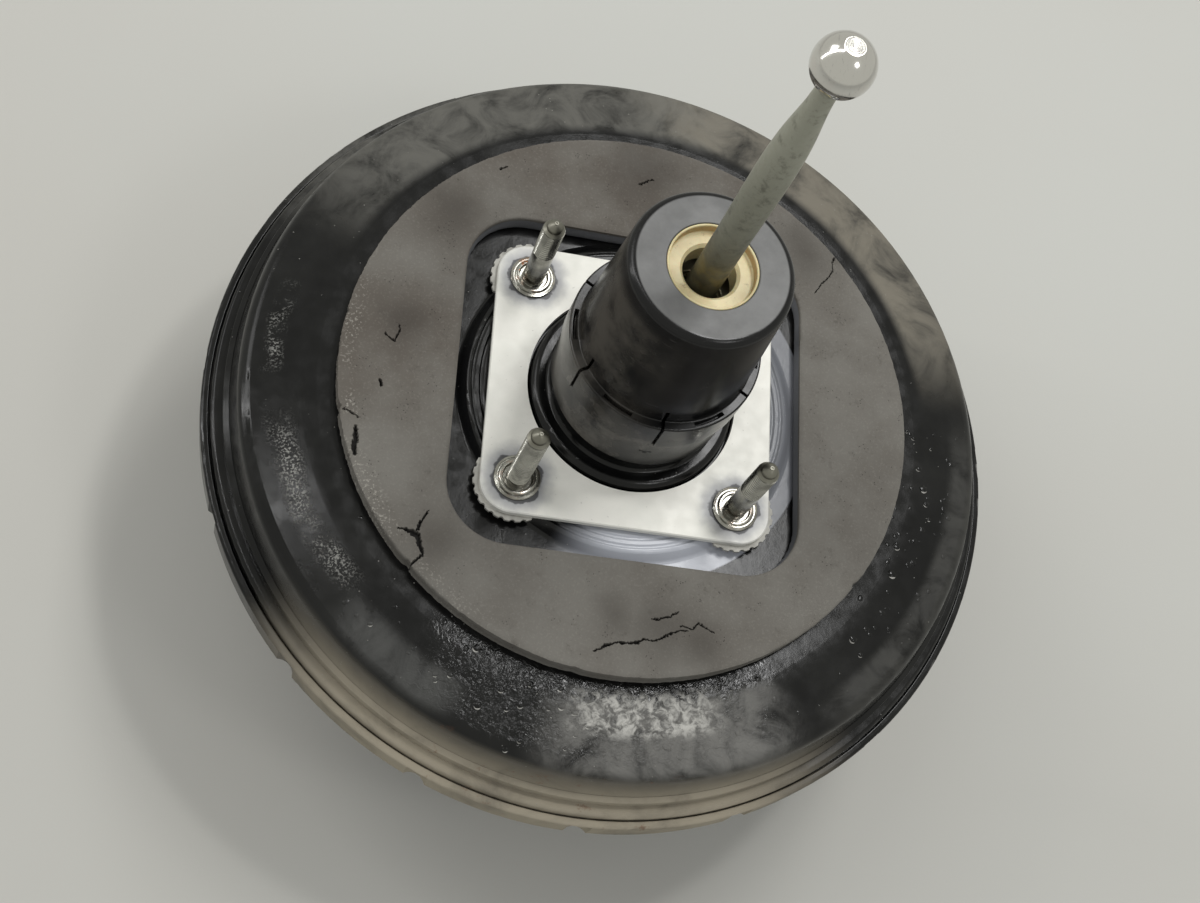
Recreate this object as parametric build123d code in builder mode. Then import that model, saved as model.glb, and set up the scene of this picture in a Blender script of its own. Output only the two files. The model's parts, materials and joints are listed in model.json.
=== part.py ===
"""Vacuum brake booster, single diaphragm, with a ball-ended pedal rod.

Frame: millimetres. The origin is the centre of the stud plate's outer face, +Z runs along the
booster's axis towards the pedal ball, and +X and +Y lie along the sides of the stud square.
The master cylinder's side is down, at -Z. At rest the piston is at its rear stop.
"""

import os
from math import acos, cos, degrees, hypot, radians, sin, sqrt, tan

from build123d import *

os.makedirs("parts", exist_ok=True)

# Steel sheet of the two shells, and the rounds used all over
sheet = 1.6
edge_round = 0.4
soft_round = 0.6
mould_round = 1.0

# Named clearances
slide_gap = 0.05
play = 0.2
seat_gap = 0.3
ball_gap = 0.04
face_gap = 0.05
press_gap = 0.1

# Stud plate, studs and washers on the pedal side
stud_pitch = 78.5
plate_margin = 12.75
plate_thickness = 2.5
plate_corner = 11.5
plate_bead_gap = 1.0
stud_radius = 4.0
stud_root_width = 0.4
stud_length = 37.0
stud_tip_length = 3.0
stud_tip_step = 1.3
stud_collar_width = 4.3
stud_collar_height = 1.5
stud_collar_web = 0.4
stud_groove_width = 1.25
stud_head_width = 3.0
stud_head_height = 2.6
washer_radius = 15.0
washer_thickness = 1.2
washer_scallops = 24
scallop_radius = 1.1
pad_radius = 12.0

# Foam gasket round the stud plate
gasket_thickness = 7.0
gasket_band = 23.95
window_gap = 11.4
window_corner = 22.0

# Rear shell
neck_top = 36.0
neck_bead_width = 6.8
neck_bead_top = 2.0
neck_bead_round = 2.6
centre_margin = 1.2
centre_slope = 3.2
ripples = 2
ripple_margin = 1.8
ripple_pitch = 3.0
ripple_width = 1.8
ripple_depth = 0.4
field_margin = 9.5
shoulder_radius = 137.0
shoulder_drop = 3.2
shoulder_round = 5.0
wall_lean = 4.3
step_rise = 4.4
step_width = 0.8
step_blend = 1.2
flange_height = -28.8
flange_width = 4.9
flange_turn = 4.6

# Front shell
rim_gap = 0.5
rim_thickness = 2.9
rim_drop = 3.1
rim_skirt = 4.6
rim_notches = 16
rim_notch_radius = 5.2
rim_notch_depth = 2.2
rim_notch_start = -91.0
bowl_step = 2.8
bowl_lean = 3.5
bowl_foot_height = -78.0
bowl_round = 22.0
cone_foot_radius = 75.0
cone_foot_height = -104.0
cone_round = 20.0
face_height = -112.0
face_margin = 7.0
face_round = 6.0
pilot_radius = 21.0
pilot_depth = 13.5
pilot_lip = 2.5
front_stud_pitch = 80.0
front_stud_length = 22.0
front_plate_margin = 15.0
front_plate_thickness = 2.5

# Plastic collar on the neck
collar_bottom = 11.0
collar_wall = 1.6
collar_step = 29.8
collar_groove = 1.0
collar_bead = 0.5
collar_bead_rise = 5.4
collar_bead_height = 4.0
collar_brim = 5.3

# Boot cap on the collar
cap_skirt_wall = 1.3
cap_ledge_gap = 0.7
cap_ledge_width = 3.2
cap_height = 51.9
cap_taper = 3.2
cap_wall = 1.9
cap_round = 2.7
cap_mouth_radius = 15.0
cap_socket_depth = 7.8
cap_socket_lip = 2.6
cap_slits = 6
cap_slit_width = 1.2
cap_slit_rise = 6.0
cap_window_angle = 20.6
hook_reach = 0.4
hook_height = 3.0
hook_rise = 1.6
hook_slope = 0.8

# Guide ring in the cap's mouth
ring_rim = 0.8
ring_recess = 3.6
ring_base = 2.2
ring_sleeve = 8.0
ring_sleeve_wall = 1.5
rod_swing = 3.4

# Seal and guide bush in the neck
seal_lip = 1.4
seal_heel = 3.4
seal_lip_rise = 2.2
bush_wall = 5.65
bush_rise = 4.0
bush_guide = 5.0
bush_length = 20.0
bush_skin = 3.25

# Piston hub, its key and the diaphragm's plate
piston_stroke = 36.0
hub_radius = 23.0
hub_wall = 5.0
hub_reserve = 16.0
hub_flange_radius = 46.0
hub_flange_rear = -16.0
hub_flange_thickness = 8.0
hub_pockets = 8
pocket_radius = 4.5
pocket_depth = 5.0
hub_boss_radius = 27.0
hub_boss_front = -52.0
reaction_radius = 16.0
reaction_recess = 3.0
reaction_thickness = 5.0
reaction_head = 4.0
valve_floor = 1.5
seat_room = 0.9
seat_width = 1.6
seat_height = 1.3
key_thickness = 2.5
key_width = 14.0
key_lap = 6.7
key_gap = 0.4
key_tail_gap = 3.0
key_round = 3.0
support_thickness = 1.2
support_gap = 6.4
support_margin = 13.0
support_turn = 4.0
web_lap = 10.0
web_width = 14.0
web_round = 4.0

# Rubber diaphragm
diaphragm_thickness = 1.8
bead_width = 6.0
bead_height = 5.0
bead_side_gap = 0.4
bead_seat_gap = 0.5
inner_bead_width = 4.5
inner_bead_height = 5.8
loop_gap = 3.0
loop_lean = 1.5
loop_drop = 6.0
loop_width = 5.2
loop_floor_gap = 1.2
bead_neck = 2.6
bead_neck_drop = 3.2

# Valve plunger, its ball socket and the pedal rod
input_stroke = 1.5
plunger_radius = 9.0
groove_radius = 5.0
groove_height = 7.5
groove_margin = 0.8
head_pocket_gap = 1.2
head_lap = 2.1
cup_wall = 2.4
cup_gap = 0.9
cup_mouth = 0.6
joint_height = 6.0
inner_ball_radius = 5.0
liner_wall = 0.9
liner_half_height = 2.7
rod_neck_radius = 3.3
rod_neck_length = 12.0
rod_cone_length = 8.0
rod_radius = 5.4
rod_swell = 0.25
swell_drop = 52.8
swell_length = 40.0
taper_drop = 30.8
taper_step = 0.6
tip_drop = 18.8
tip_step = 0.4
rod_tip_radius = 3.2
ball_radius = 8.67
ball_height = 202.8
ball_flat_radius = 2.6

# Output rod and its clip
output_rod_radius = 6.5
output_tip_step = 2.0
output_tip_length = 9.0
output_tip_cone = 3.0
output_tip_round = 3.0
output_tip_depth = 16.5
clip_sheet = 1.2
clip_hole_gap = 3.5
clip_length = 10.0

# Poppet valve and its retainer
poppet_thickness = 2.3
poppet_lap = 2.0
poppet_height = 23.9
poppet_skin = 1.6
poppet_fold = 4.0
poppet_fold_gap = 0.4
poppet_seat = 6.0
poppet_brim = 3.0
poppet_brim_height = 2.0
retainer_flange = 1.5
retainer_wall = 1.3
retainer_height = 6.0

# Springs
return_wire = 2.1
return_turns = 5
return_top_radius = 33.2
return_bottom_radius = 27.2
poppet_wire = 0.6
poppet_turns = 4
poppet_spring_gap = 2.6
rod_wire = 0.8
rod_spring_turns = 4
rod_spring_margin = 1.2
rod_spring_radius = 9.4
rod_seat_rise = 19.0
rod_seat_thickness = 1.45
rod_seat_rim = 0.8
rod_flange_width = 1.2
rod_flange_height = 2.0
wire_sides = 8

# Air filter
filter_gap = 6.0
filter_swing = 2.9
filter_ring_height = 4.0
filter_ring_wall = 1.9
filter_ring_base = 1.8
filter_ring_margin = 0.6

# Vacuum check valve on the front shell
valve_angle = 62.0
valve_stem_radius = 8.0
valve_stem_length = 5.0
valve_stem_play = 2.4
valve_head_width = 4.0
valve_head_height = 20.0
valve_head_round = 2.5
nipple_height = 15.5
nipple_radius = 5.8
nipple_root_width = 1.0
nipple_root_length = 1.5
nipple_length = 30.0
nipple_wall = 1.8
grommet_lip = 5.5
grommet_inner_lip = 4.5
grommet_lip_height = 2.4
grommet_groove_gap = 0.6
chamber_wall = 2.0
chamber_floor = 3.2
chamber_seat = 2.0
chamber_reserve = 4.4
disc_gap = 0.4
disc_thickness = 1.55
disc_pip_radius = 1.6
disc_pip_height = 1.4
disc_lift = 1.6
check_wire = 0.35
check_turns = 4
check_spring_radius = 3.2


def fitted(before, corner, after, radius):
    """A corner's radius, limited so that its arc takes at most half of the shorter side."""
    arriving = corner - before
    leaving = after - corner
    reach = tan(radians(arriving.get_angle(leaving) / 2))
    room = 0.49 * min(arriving.length, leaving.length)
    return min(radius, room / reach) if reach else 0


def split_corners(corners):
    """The points of (x, y) or (x, y, radius) corners, and their radii."""
    points = [Vector(corner[0], corner[1]) for corner in corners]
    radii = [corner[2] if len(corner) > 2 else 0 for corner in corners]
    return points, radii


def outline(*corners):
    """A closed face in the sketch, from (radius, height) or (radius, height, corner radius)."""
    points, asked = split_corners(corners)
    befores = points[-1:] + points[:-1]
    afters = points[1:] + points[:1]
    radii = [fitted(*corner) for corner in zip(befores, points, afters, asked)]
    with BuildLine() as path:
        FilletPolyline(*points, radius=radii, close=True)
    return make_face(path.edges())


def sheet_section(thickness, *corners):
    """A bent sheet's section, from the corners of its right-hand face and its thickness."""
    points, asked = split_corners(corners)
    ways = [(end - start).normalized() for start, end in zip(points, points[1:])]
    normals = [Vector(-way.Y, way.X) for way in ways]
    bends = [fitted(*corner) for corner in zip(points, points[1:], points[2:], asked[1:])]
    far = [points[0] + normals[0] * thickness]
    far_asked = [0]
    for point, before, after, bend in zip(points[1:], normals, normals[1:], bends):
        far.append(point + (before + after) * (thickness / (1 + before.dot(after))))
        inside = before.cross(after).Z > 0
        far_asked.append(max(bend - thickness, 0) if inside else bend and bend + thickness)
    far.append(points[-1] + normals[-1] * thickness)
    far_bends = [fitted(*corner) for corner in zip(far, far[1:], far[2:], far_asked[1:])]
    with BuildLine() as path:
        near_line = FilletPolyline(*points, radius=bends)
        far_line = FilletPolyline(*far, radius=far_bends)
        Line(near_line @ 0, far_line @ 0)
        Line(near_line @ 1, far_line @ 1)
    return make_face(path.edges())


def lean_angle(run, rise):
    """The angle between a slope and the rise's direction, in radians."""
    return acos(rise / hypot(run, rise)) * (1 if run >= 0 else -1)


def coil(wire, turns, bottom, top, bottom_radius, top_radius):
    """The path of a spring's wire centre between two seats, as a helix that may be conical."""
    height = top - bottom - 2 * wire
    return Helix(
        pitch=height / turns,
        height=height,
        radius=bottom_radius,
        center=(0, 0, bottom + wire),
        cone_angle=degrees(lean_angle(top_radius - bottom_radius, height)),
    )


def save(piece, name):
    """Names the finished piece and writes it."""
    piece.part.label = name
    export_step(piece.part, f"parts/{name}.step")


# Heights on the pedal side, down from the stud plate's outer face
plate_side = stud_pitch + 2 * plate_margin
plate_bottom = -plate_thickness
centre_height = plate_bottom - washer_thickness
centre_inside = centre_height - sheet
field_height = -gasket_thickness
field_inside = field_height - sheet
window_side = plate_side + 2 * window_gap
window_reach = window_side / 2 * sqrt(2) - window_corner * (sqrt(2) - 1)
gasket_radius = window_reach + gasket_band
centre_foot_radius = window_side / 2 - centre_margin

# Radii outwards from the hub's tube: neck, bead, collar, cap
neck_inner_radius = hub_radius + slide_gap + bush_wall + play
neck_radius = neck_inner_radius + sheet
neck_bead_radius = neck_radius + neck_bead_width
collar_bore_radius = neck_radius + play
collar_radius = collar_bore_radius + collar_wall
collar_groove_radius = collar_radius - collar_groove
cap_skirt_inner = collar_groove_radius + collar_bead + seat_gap
cap_skirt_radius = cap_skirt_inner + cap_skirt_wall
cap_base_radius = cap_skirt_radius - cap_ledge_width
cap_top_radius = cap_base_radius - cap_taper

# Heights of the collar, the cap and the guide ring
collar_top = neck_top + seat_gap + collar_brim
cap_skirt_bottom = collar_step + seat_gap
cap_ledge = collar_top + cap_ledge_gap + cap_wall
cap_top = cap_ledge + cap_height
ring_top = cap_top - press_gap
ring_floor = cap_top - ring_recess
ring_bottom = ring_floor - ring_base
ring_radius = cap_mouth_radius - press_gap
ring_hole_radius = rod_radius + rod_swing

# The two shells' rims and the diaphragm's bead between them
field_radius = gasket_radius + field_margin
wall_foot_radius = shoulder_radius + wall_lean
flange_radius = wall_foot_radius + flange_width
rim_inner_radius = flange_radius + rim_gap
rim_radius = rim_inner_radius + rim_thickness
rim_top = flange_height - rim_drop
bead_radius = flange_radius - sheet - bead_side_gap
bead_inner_radius = bead_radius - bead_width
bead_top = flange_height - sheet - press_gap
bead_bottom = bead_top - bead_height
ledge_height = bead_bottom - bead_seat_gap - sheet
rim_bottom = ledge_height - rim_skirt
bowl_radius = wall_foot_radius - bowl_step
bowl_foot_radius = bowl_radius - bowl_lean

# The master cylinder's side
front_plate_radius = front_stud_pitch / 2 + front_plate_margin
face_radius = front_plate_radius + face_margin
front_inside = face_height + sheet
front_plate_bottom = front_inside + face_gap
front_plate_top = front_plate_bottom + front_plate_thickness
front_plate_bore = pilot_radius + sheet + play
output_tip = face_height + output_tip_depth

# Hub, key, plunger and poppet
bush_bottom = neck_bead_top + bush_rise
bush_top = bush_bottom + bush_length
hub_top = bush_top + piston_stroke + hub_reserve
hub_bore_radius = hub_radius - hub_wall
hub_flange_front = hub_flange_rear - hub_flange_thickness
key_top = centre_inside - key_gap
key_bottom = key_top - key_thickness
key_reach = neck_bead_radius + key_lap
groove_top = key_top + play + input_stroke + groove_margin
groove_bottom = groove_top - groove_height
reaction_front = hub_boss_front + reaction_recess
reaction_rear = reaction_front + reaction_thickness
clip_height = reaction_front - reaction_head - seat_gap
liner_outer_radius = inner_ball_radius + ball_gap + liner_wall
socket_radius = liner_outer_radius + ball_gap
plunger_cup_radius = socket_radius + cup_wall
poppet_hole_radius = plunger_cup_radius + cup_gap
plunger_head_radius = poppet_hole_radius + head_lap
head_pocket_radius = plunger_head_radius + seat_gap
head_pocket_floor = groove_top - input_stroke - head_pocket_gap
seat_inner_radius = head_pocket_radius + seat_room
seat_radius = seat_inner_radius + seat_width
poppet_face = valve_floor + seat_height + seat_gap
poppet_top = poppet_face + poppet_height

# Rod, its spring seat and the filter
rod_seat_height = poppet_top + rod_seat_rise
rod_flange_bottom = rod_seat_height + rod_seat_thickness + face_gap
rod_seat_radius = rod_spring_radius + rod_wire + rod_seat_rim
filter_bottom = rod_seat_height + filter_gap
filter_top = hub_top - filter_ring_height
filter_hole_radius = rod_radius + filter_swing
filter_radius = hub_bore_radius - play

# Diaphragm plate
support_height = field_inside - support_gap
support_radius = shoulder_radius - support_margin
web_inner_radius = hub_flange_radius + web_lap
web_outer_radius = web_inner_radius + web_width

stud_root_radius = stud_radius + stud_root_width
stud_places = GridLocations(stud_pitch, stud_pitch, 2, 2)
front_stud_places = GridLocations(front_stud_pitch, 0, 2, 1)

# Rear shell: drawn neck with its base bead, rippled centre, gasket field, shoulder and flange
with BuildPart() as rear_shell:
    with BuildSketch(Plane.XZ):
        sheet_section(
            sheet,
            (flange_radius, flange_height - flange_turn),
            (flange_radius, flange_height, 1.7),
            (wall_foot_radius, flange_height, 1.2),
            (shoulder_radius, field_height - shoulder_drop, shoulder_round),
            (field_radius, field_height, 40.0),
            (centre_foot_radius, field_height, 2.0),
            (centre_foot_radius - centre_slope, centre_height, 2.0),
            (neck_bead_radius, centre_height, edge_round),
            (neck_bead_radius, neck_bead_top, neck_bead_round),
            (neck_radius, neck_bead_top, 1.8),
            (neck_radius, neck_top),
        )
        outline(
            (wall_foot_radius - step_blend, flange_height + step_rise + step_blend),
            (wall_foot_radius + step_width, flange_height + step_rise, edge_round),
            (wall_foot_radius + step_width, flange_height - edge_round),
            (wall_foot_radius - step_blend / 2, flange_height - edge_round),
        )
    revolve(axis=Axis.Z)
    with BuildSketch(Plane.XZ):
        for ripple in range(ripples):
            ripple_radius = centre_foot_radius - centre_slope - ripple_margin - ripple * ripple_pitch
            outline(
                (ripple_radius + ripple_width / 2, centre_height + ripple_depth),
                (ripple_radius + ripple_width / 2, centre_height),
                (ripple_radius + ripple_width / 6, centre_height - ripple_depth, edge_round),
                (ripple_radius - ripple_width / 6, centre_height - ripple_depth, edge_round),
                (ripple_radius - ripple_width / 2, centre_height),
                (ripple_radius - ripple_width / 2, centre_height + ripple_depth),
            )
    revolve(axis=Axis.Z, mode=Mode.SUBTRACT)
    with BuildSketch(Plane.XY.offset(field_inside)):
        with stud_places:
            Circle(pad_radius)
    extrude(amount=centre_height - field_inside)
    with BuildSketch(Plane.XY.offset(field_inside)):
        with stud_places:
            Circle(stud_root_radius + play)
    extrude(amount=centre_height - field_inside, mode=Mode.SUBTRACT)
save(rear_shell, "rear_shell")

# The check valve's plane on the front shell's cone: out of the shell, and away from the axis
valve_distance = (cone_foot_radius + bowl_foot_radius) / 2
valve_slope = lean_angle(bowl_foot_height - cone_foot_height, bowl_foot_radius - cone_foot_radius)
valve_height = cone_foot_height + (valve_distance - cone_foot_radius) * tan(valve_slope)
valve_right = Vector(cos(radians(valve_angle)), sin(radians(valve_angle)), 0)
valve_out = valve_right * sin(valve_slope) - Vector(0, 0, cos(valve_slope))
valve_away = valve_right * cos(valve_slope) + Vector(0, 0, sin(valve_slope))
valve_origin = valve_right * valve_distance + Vector(0, 0, valve_height)
valve_plane = Plane(origin=valve_origin, x_dir=valve_away, z_dir=valve_out)
valve_section = Plane(origin=valve_origin, x_dir=valve_away, z_dir=valve_away.cross(valve_out))
valve_axis = Axis(valve_origin, valve_out)
grommet_neck_radius = valve_stem_radius + valve_stem_play

# Front shell: crimped rim with its notches, bowl, cone, master cylinder face and pilot collar
with BuildPart() as front_shell:
    with BuildSketch(Plane.XZ):
        sheet_section(
            sheet,
            (pilot_radius, face_height + pilot_depth),
            (pilot_radius, face_height, pilot_lip),
            (face_radius, face_height, face_round),
            (cone_foot_radius, cone_foot_height, cone_round),
            (bowl_foot_radius, bowl_foot_height, bowl_round),
            (bowl_radius, ledge_height, 2.0),
            (rim_radius - rim_thickness / 2, ledge_height),
        )
        outline(
            (rim_radius, rim_bottom, 0.8),
            (rim_radius, rim_top, 1.2),
            (rim_inner_radius, rim_top, soft_round),
            (rim_inner_radius, rim_bottom, soft_round),
        )
    revolve(axis=Axis.Z)
    with BuildSketch(Plane.XY.offset(rim_bottom - mould_round)):
        with PolarLocations(
            rim_radius + rim_notch_radius - rim_notch_depth, rim_notches, rim_notch_start
        ):
            Circle(rim_notch_radius)
    extrude(amount=rim_top - rim_bottom + mould_round / 2, mode=Mode.SUBTRACT)
    with BuildSketch(Plane.XY.offset(face_height)):
        with front_stud_places:
            Circle(stud_root_radius + play)
    extrude(amount=sheet, mode=Mode.SUBTRACT)
    with BuildSketch(valve_plane.offset(-2 * sheet)):
        Circle(grommet_neck_radius + play)
    extrude(amount=3 * sheet, mode=Mode.SUBTRACT)
save(front_shell, "front_shell")

# Stud plate, four studs swaged through it and their scalloped sealing washers
with BuildPart() as stud_plate:
    with BuildSketch(Plane.XY.offset(plate_bottom)):
        RectangleRounded(plate_side, plate_side, plate_corner)
        Circle(neck_bead_radius + plate_bead_gap, mode=Mode.SUBTRACT)
        with stud_places:
            Circle(stud_root_radius + play, mode=Mode.SUBTRACT)
    extrude(amount=plate_thickness)
    chamfer(stud_plate.faces().sort_by(Axis.Z)[-1].outer_wire().edges(), edge_round)
save(stud_plate, "stud_plate")

stud_head_radius = stud_radius + stud_head_width
with BuildPart() as rear_studs:
    stud_tip_radius = stud_radius - stud_tip_step
    stud_collar_radius = stud_radius + stud_collar_width
    stud_groove_radius = stud_radius + stud_groove_width
    stud_ring_width = (stud_collar_radius - stud_groove_radius) / 3
    with BuildSketch(Plane.XZ):
        outline(
            (0, field_inside - stud_head_height),
            (stud_head_radius, field_inside - stud_head_height, mould_round),
            (stud_head_radius, field_inside),
            (stud_root_radius, field_inside),
            (stud_root_radius, 0),
            (stud_collar_radius, 0),
            (stud_collar_radius, stud_collar_height * 0.6, soft_round),
            (stud_groove_radius + stud_ring_width, stud_collar_height, soft_round),
            (stud_groove_radius, stud_collar_height, edge_round / 2),
            (stud_groove_radius, stud_collar_web),
            (stud_radius, stud_collar_web),
            (stud_radius, stud_length - stud_tip_step),
            (stud_tip_radius, stud_length),
            (stud_tip_radius, stud_length + stud_tip_length, soft_round),
            (0, stud_length + stud_tip_length),
        )
    stud_solid = revolve(axis=Axis.Z, mode=Mode.PRIVATE)
    with stud_places:
        add(stud_solid)
save(rear_studs, "rear_studs")

with BuildPart() as stud_washers:
    with BuildSketch(Plane.XY.offset(centre_height)):
        Circle(washer_radius)
        with PolarLocations(washer_radius + scallop_radius * 0.4, washer_scallops):
            Circle(scallop_radius, mode=Mode.SUBTRACT)
        Circle(stud_root_radius + play, mode=Mode.SUBTRACT)
    washer_solid = extrude(amount=washer_thickness, mode=Mode.PRIVATE)
    with stud_places:
        add(washer_solid)
save(stud_washers, "stud_washers")

# Foam gasket that seals the booster to the bulkhead
with BuildPart() as bulkhead_gasket:
    with BuildSketch(Plane.XY.offset(field_height)):
        Circle(gasket_radius)
        RectangleRounded(window_side, window_side, window_corner, mode=Mode.SUBTRACT)
    extrude(amount=gasket_thickness)
save(bulkhead_gasket, "bulkhead_gasket")

# Plastic collar pressed on the neck, with the bead that the cap's hooks grip
with BuildPart() as neck_collar:
    bead_foot = collar_step + collar_bead_rise
    bead_slope = collar_bead_height / 4
    with BuildSketch(Plane.XZ):
        outline(
            (collar_bore_radius, collar_bottom, edge_round),
            (collar_radius, collar_bottom, edge_round),
            (collar_radius, collar_step, edge_round),
            (collar_groove_radius, collar_step),
            (collar_groove_radius, bead_foot),
            (collar_groove_radius + collar_bead, bead_foot + bead_slope),
            (collar_groove_radius + collar_bead, bead_foot + collar_bead_height - bead_slope),
            (collar_groove_radius, bead_foot + collar_bead_height),
            (collar_groove_radius, collar_top),
            (neck_inner_radius, collar_top),
            (neck_inner_radius, neck_top + seat_gap),
            (collar_bore_radius, neck_top + seat_gap),
        )
    revolve(axis=Axis.Z)
save(neck_collar, "neck_collar")

# Boot cap: cone with a socket for the guide ring, slit skirt, moulding windows and hooks
with BuildPart() as boot_cap:
    cap_inside_top = cap_top - cap_wall - edge_round
    cap_inside_ledge = cap_ledge - cap_wall
    socket_bottom = cap_top - cap_socket_depth
    socket_outer_radius = cap_mouth_radius + cap_wall
    socket_shelf_radius = cap_mouth_radius - cap_socket_lip
    with BuildSketch(Plane.XZ):
        outline(
            (cap_skirt_inner, cap_skirt_bottom),
            (cap_skirt_radius, cap_skirt_bottom, edge_round),
            (cap_skirt_radius, cap_ledge, soft_round),
            (cap_base_radius, cap_ledge, edge_round),
            (cap_top_radius, cap_top, cap_round),
            (cap_mouth_radius, cap_top, edge_round),
            (cap_mouth_radius, ring_bottom - press_gap),
            (socket_shelf_radius, ring_bottom - press_gap),
            (socket_shelf_radius, socket_bottom),
            (socket_outer_radius, socket_bottom, soft_round),
            (socket_outer_radius, cap_inside_top, mould_round),
            (cap_top_radius - cap_wall, cap_inside_top, mould_round),
            (cap_base_radius - cap_wall, cap_inside_ledge, mould_round),
            (cap_skirt_inner, cap_inside_ledge, edge_round),
        )
    revolve(axis=Axis.Z)
    hook_bottom = collar_step + hook_rise
    hook_inner_radius = cap_skirt_inner - hook_reach
    slit_reach = 2 * (cap_ledge_width + cap_wall + mould_round)
    window_start = Plane.XZ.rotated((0, 0, cap_window_angle / 2))
    with BuildSketch(window_start):
        outline(
            (cap_skirt_inner + cap_skirt_wall / 4, hook_bottom),
            (cap_skirt_inner + cap_skirt_wall / 4, hook_bottom + hook_height),
            (hook_inner_radius, hook_bottom + hook_height - hook_slope),
            (hook_inner_radius, hook_bottom + hook_slope),
        )
    hook_solid = revolve(axis=Axis.Z, revolution_arc=-cap_window_angle, mode=Mode.PRIVATE)
    with BuildSketch(window_start):
        outline(
            (cap_base_radius + soft_round, cap_inside_ledge - soft_round),
            (cap_skirt_inner + play, cap_inside_ledge - soft_round),
            (cap_skirt_inner + play, cap_ledge + edge_round),
            (cap_base_radius + soft_round, cap_ledge + edge_round),
        )
    window_solid = revolve(axis=Axis.Z, revolution_arc=-cap_window_angle, mode=Mode.PRIVATE)
    with PolarLocations(0, cap_slits):
        add(hook_solid)
        add(window_solid, mode=Mode.SUBTRACT)
    with BuildSketch(Plane.XY.offset(cap_skirt_bottom)):
        with PolarLocations(cap_skirt_radius, cap_slits, 180 / cap_slits):
            Rectangle(slit_reach, cap_slit_width)
    extrude(amount=cap_ledge + cap_slit_rise - cap_skirt_bottom, mode=Mode.SUBTRACT)
save(boot_cap, "boot_cap")

# Guide ring in the cap's mouth: a shallow cup with a sleeve round the rod
with BuildPart() as rod_guide_ring:
    sleeve_bottom = ring_floor - ring_sleeve
    sleeve_radius = ring_hole_radius + ring_sleeve_wall
    with BuildSketch(Plane.XZ):
        outline(
            (ring_hole_radius, sleeve_bottom),
            (sleeve_radius, sleeve_bottom, edge_round),
            (sleeve_radius, ring_bottom),
            (ring_radius, ring_bottom, edge_round),
            (ring_radius, ring_top, edge_round),
            (ring_radius - ring_rim, ring_top, edge_round),
            (ring_radius - ring_rim, ring_floor, soft_round),
            (ring_hole_radius + mould_round, ring_floor),
            (ring_hole_radius, ring_floor - mould_round),
        )
    revolve(axis=Axis.Z)
save(rod_guide_ring, "rod_guide_ring")

# Seal and guide bush between the neck and the sliding hub
hub_slide_radius = hub_radius + slide_gap
with BuildPart() as neck_seal:
    seal_bottom = centre_inside + soft_round
    seal_top = neck_bead_top - sheet - play
    seal_outer_radius = neck_bead_radius - sheet - play
    with BuildSketch(Plane.XZ):
        outline(
            (hub_slide_radius, seal_bottom, edge_round),
            (seal_outer_radius, seal_bottom, mould_round),
            (seal_outer_radius, seal_top, neck_bead_round),
            (hub_radius + seal_heel, seal_top, soft_round),
            (hub_radius + seal_lip, neck_bead_top + seal_lip_rise, edge_round),
            (hub_slide_radius, neck_bead_top + seal_lip_rise),
        )
    revolve(axis=Axis.Z)
save(neck_seal, "neck_seal")

with BuildPart() as neck_bush:
    bush_radius = neck_inner_radius - play
    bush_bore_radius = bush_radius - bush_skin
    with BuildSketch(Plane.XZ):
        outline(
            (hub_slide_radius, bush_bottom),
            (bush_radius, bush_bottom, mould_round),
            (bush_radius, bush_top),
            (bush_bore_radius, bush_top),
            (bush_bore_radius, bush_bottom + bush_guide),
            (hub_slide_radius, bush_bottom + bush_guide),
        )
    revolve(axis=Axis.Z)
save(neck_bush, "neck_bush")

# Reinforcing plate and studs of the master cylinder's side
with BuildPart() as front_plate:
    with BuildSketch(Plane.XZ):
        outline(
            (front_plate_bore, front_plate_bottom, 1.6),
            (front_plate_radius, front_plate_bottom),
            (front_plate_radius, front_plate_top, mould_round),
            (front_plate_bore, front_plate_top, edge_round),
        )
    revolve(axis=Axis.Z)
    with BuildSketch(Plane.XY.offset(front_plate_bottom)):
        with front_stud_places:
            Circle(stud_root_radius + play)
    extrude(amount=front_plate_thickness, mode=Mode.SUBTRACT)
save(front_plate, "front_plate")

with BuildPart() as front_studs:
    front_stud_tip = face_height - front_stud_length
    with BuildSketch(Plane.XZ):
        outline(
            (0, front_stud_tip),
            (stud_radius - mould_round, front_stud_tip),
            (stud_radius, front_stud_tip + mould_round),
            (stud_radius, face_height),
            (stud_root_radius, face_height),
            (stud_root_radius, front_plate_top),
            (stud_head_radius, front_plate_top),
            (stud_head_radius, front_plate_top + stud_head_height, soft_round),
            (0, front_plate_top + stud_head_height),
        )
    front_stud_solid = revolve(axis=Axis.Z, mode=Mode.PRIVATE)
    with front_stud_places:
        add(front_stud_solid)
save(front_studs, "front_studs")

# Check valve: grommet in the front shell, body with its hose nipple, disc and spring
with BuildPart() as valve_grommet:
    grommet_bore = valve_stem_radius + play
    grommet_bottom = -sheet - grommet_groove_gap - grommet_lip_height
    with BuildSketch(valve_section):
        outline(
            (grommet_bore, grommet_bottom),
            (valve_stem_radius + grommet_inner_lip, grommet_bottom, mould_round),
            (valve_stem_radius + grommet_inner_lip, -sheet - grommet_groove_gap),
            (grommet_neck_radius, -sheet - grommet_groove_gap),
            (grommet_neck_radius, play),
            (valve_stem_radius + grommet_lip, play),
            (valve_stem_radius + grommet_lip, play + grommet_lip_height, mould_round),
            (grommet_bore, play + grommet_lip_height),
        )
    revolve(axis=valve_axis)
save(valve_grommet, "valve_grommet")

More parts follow.
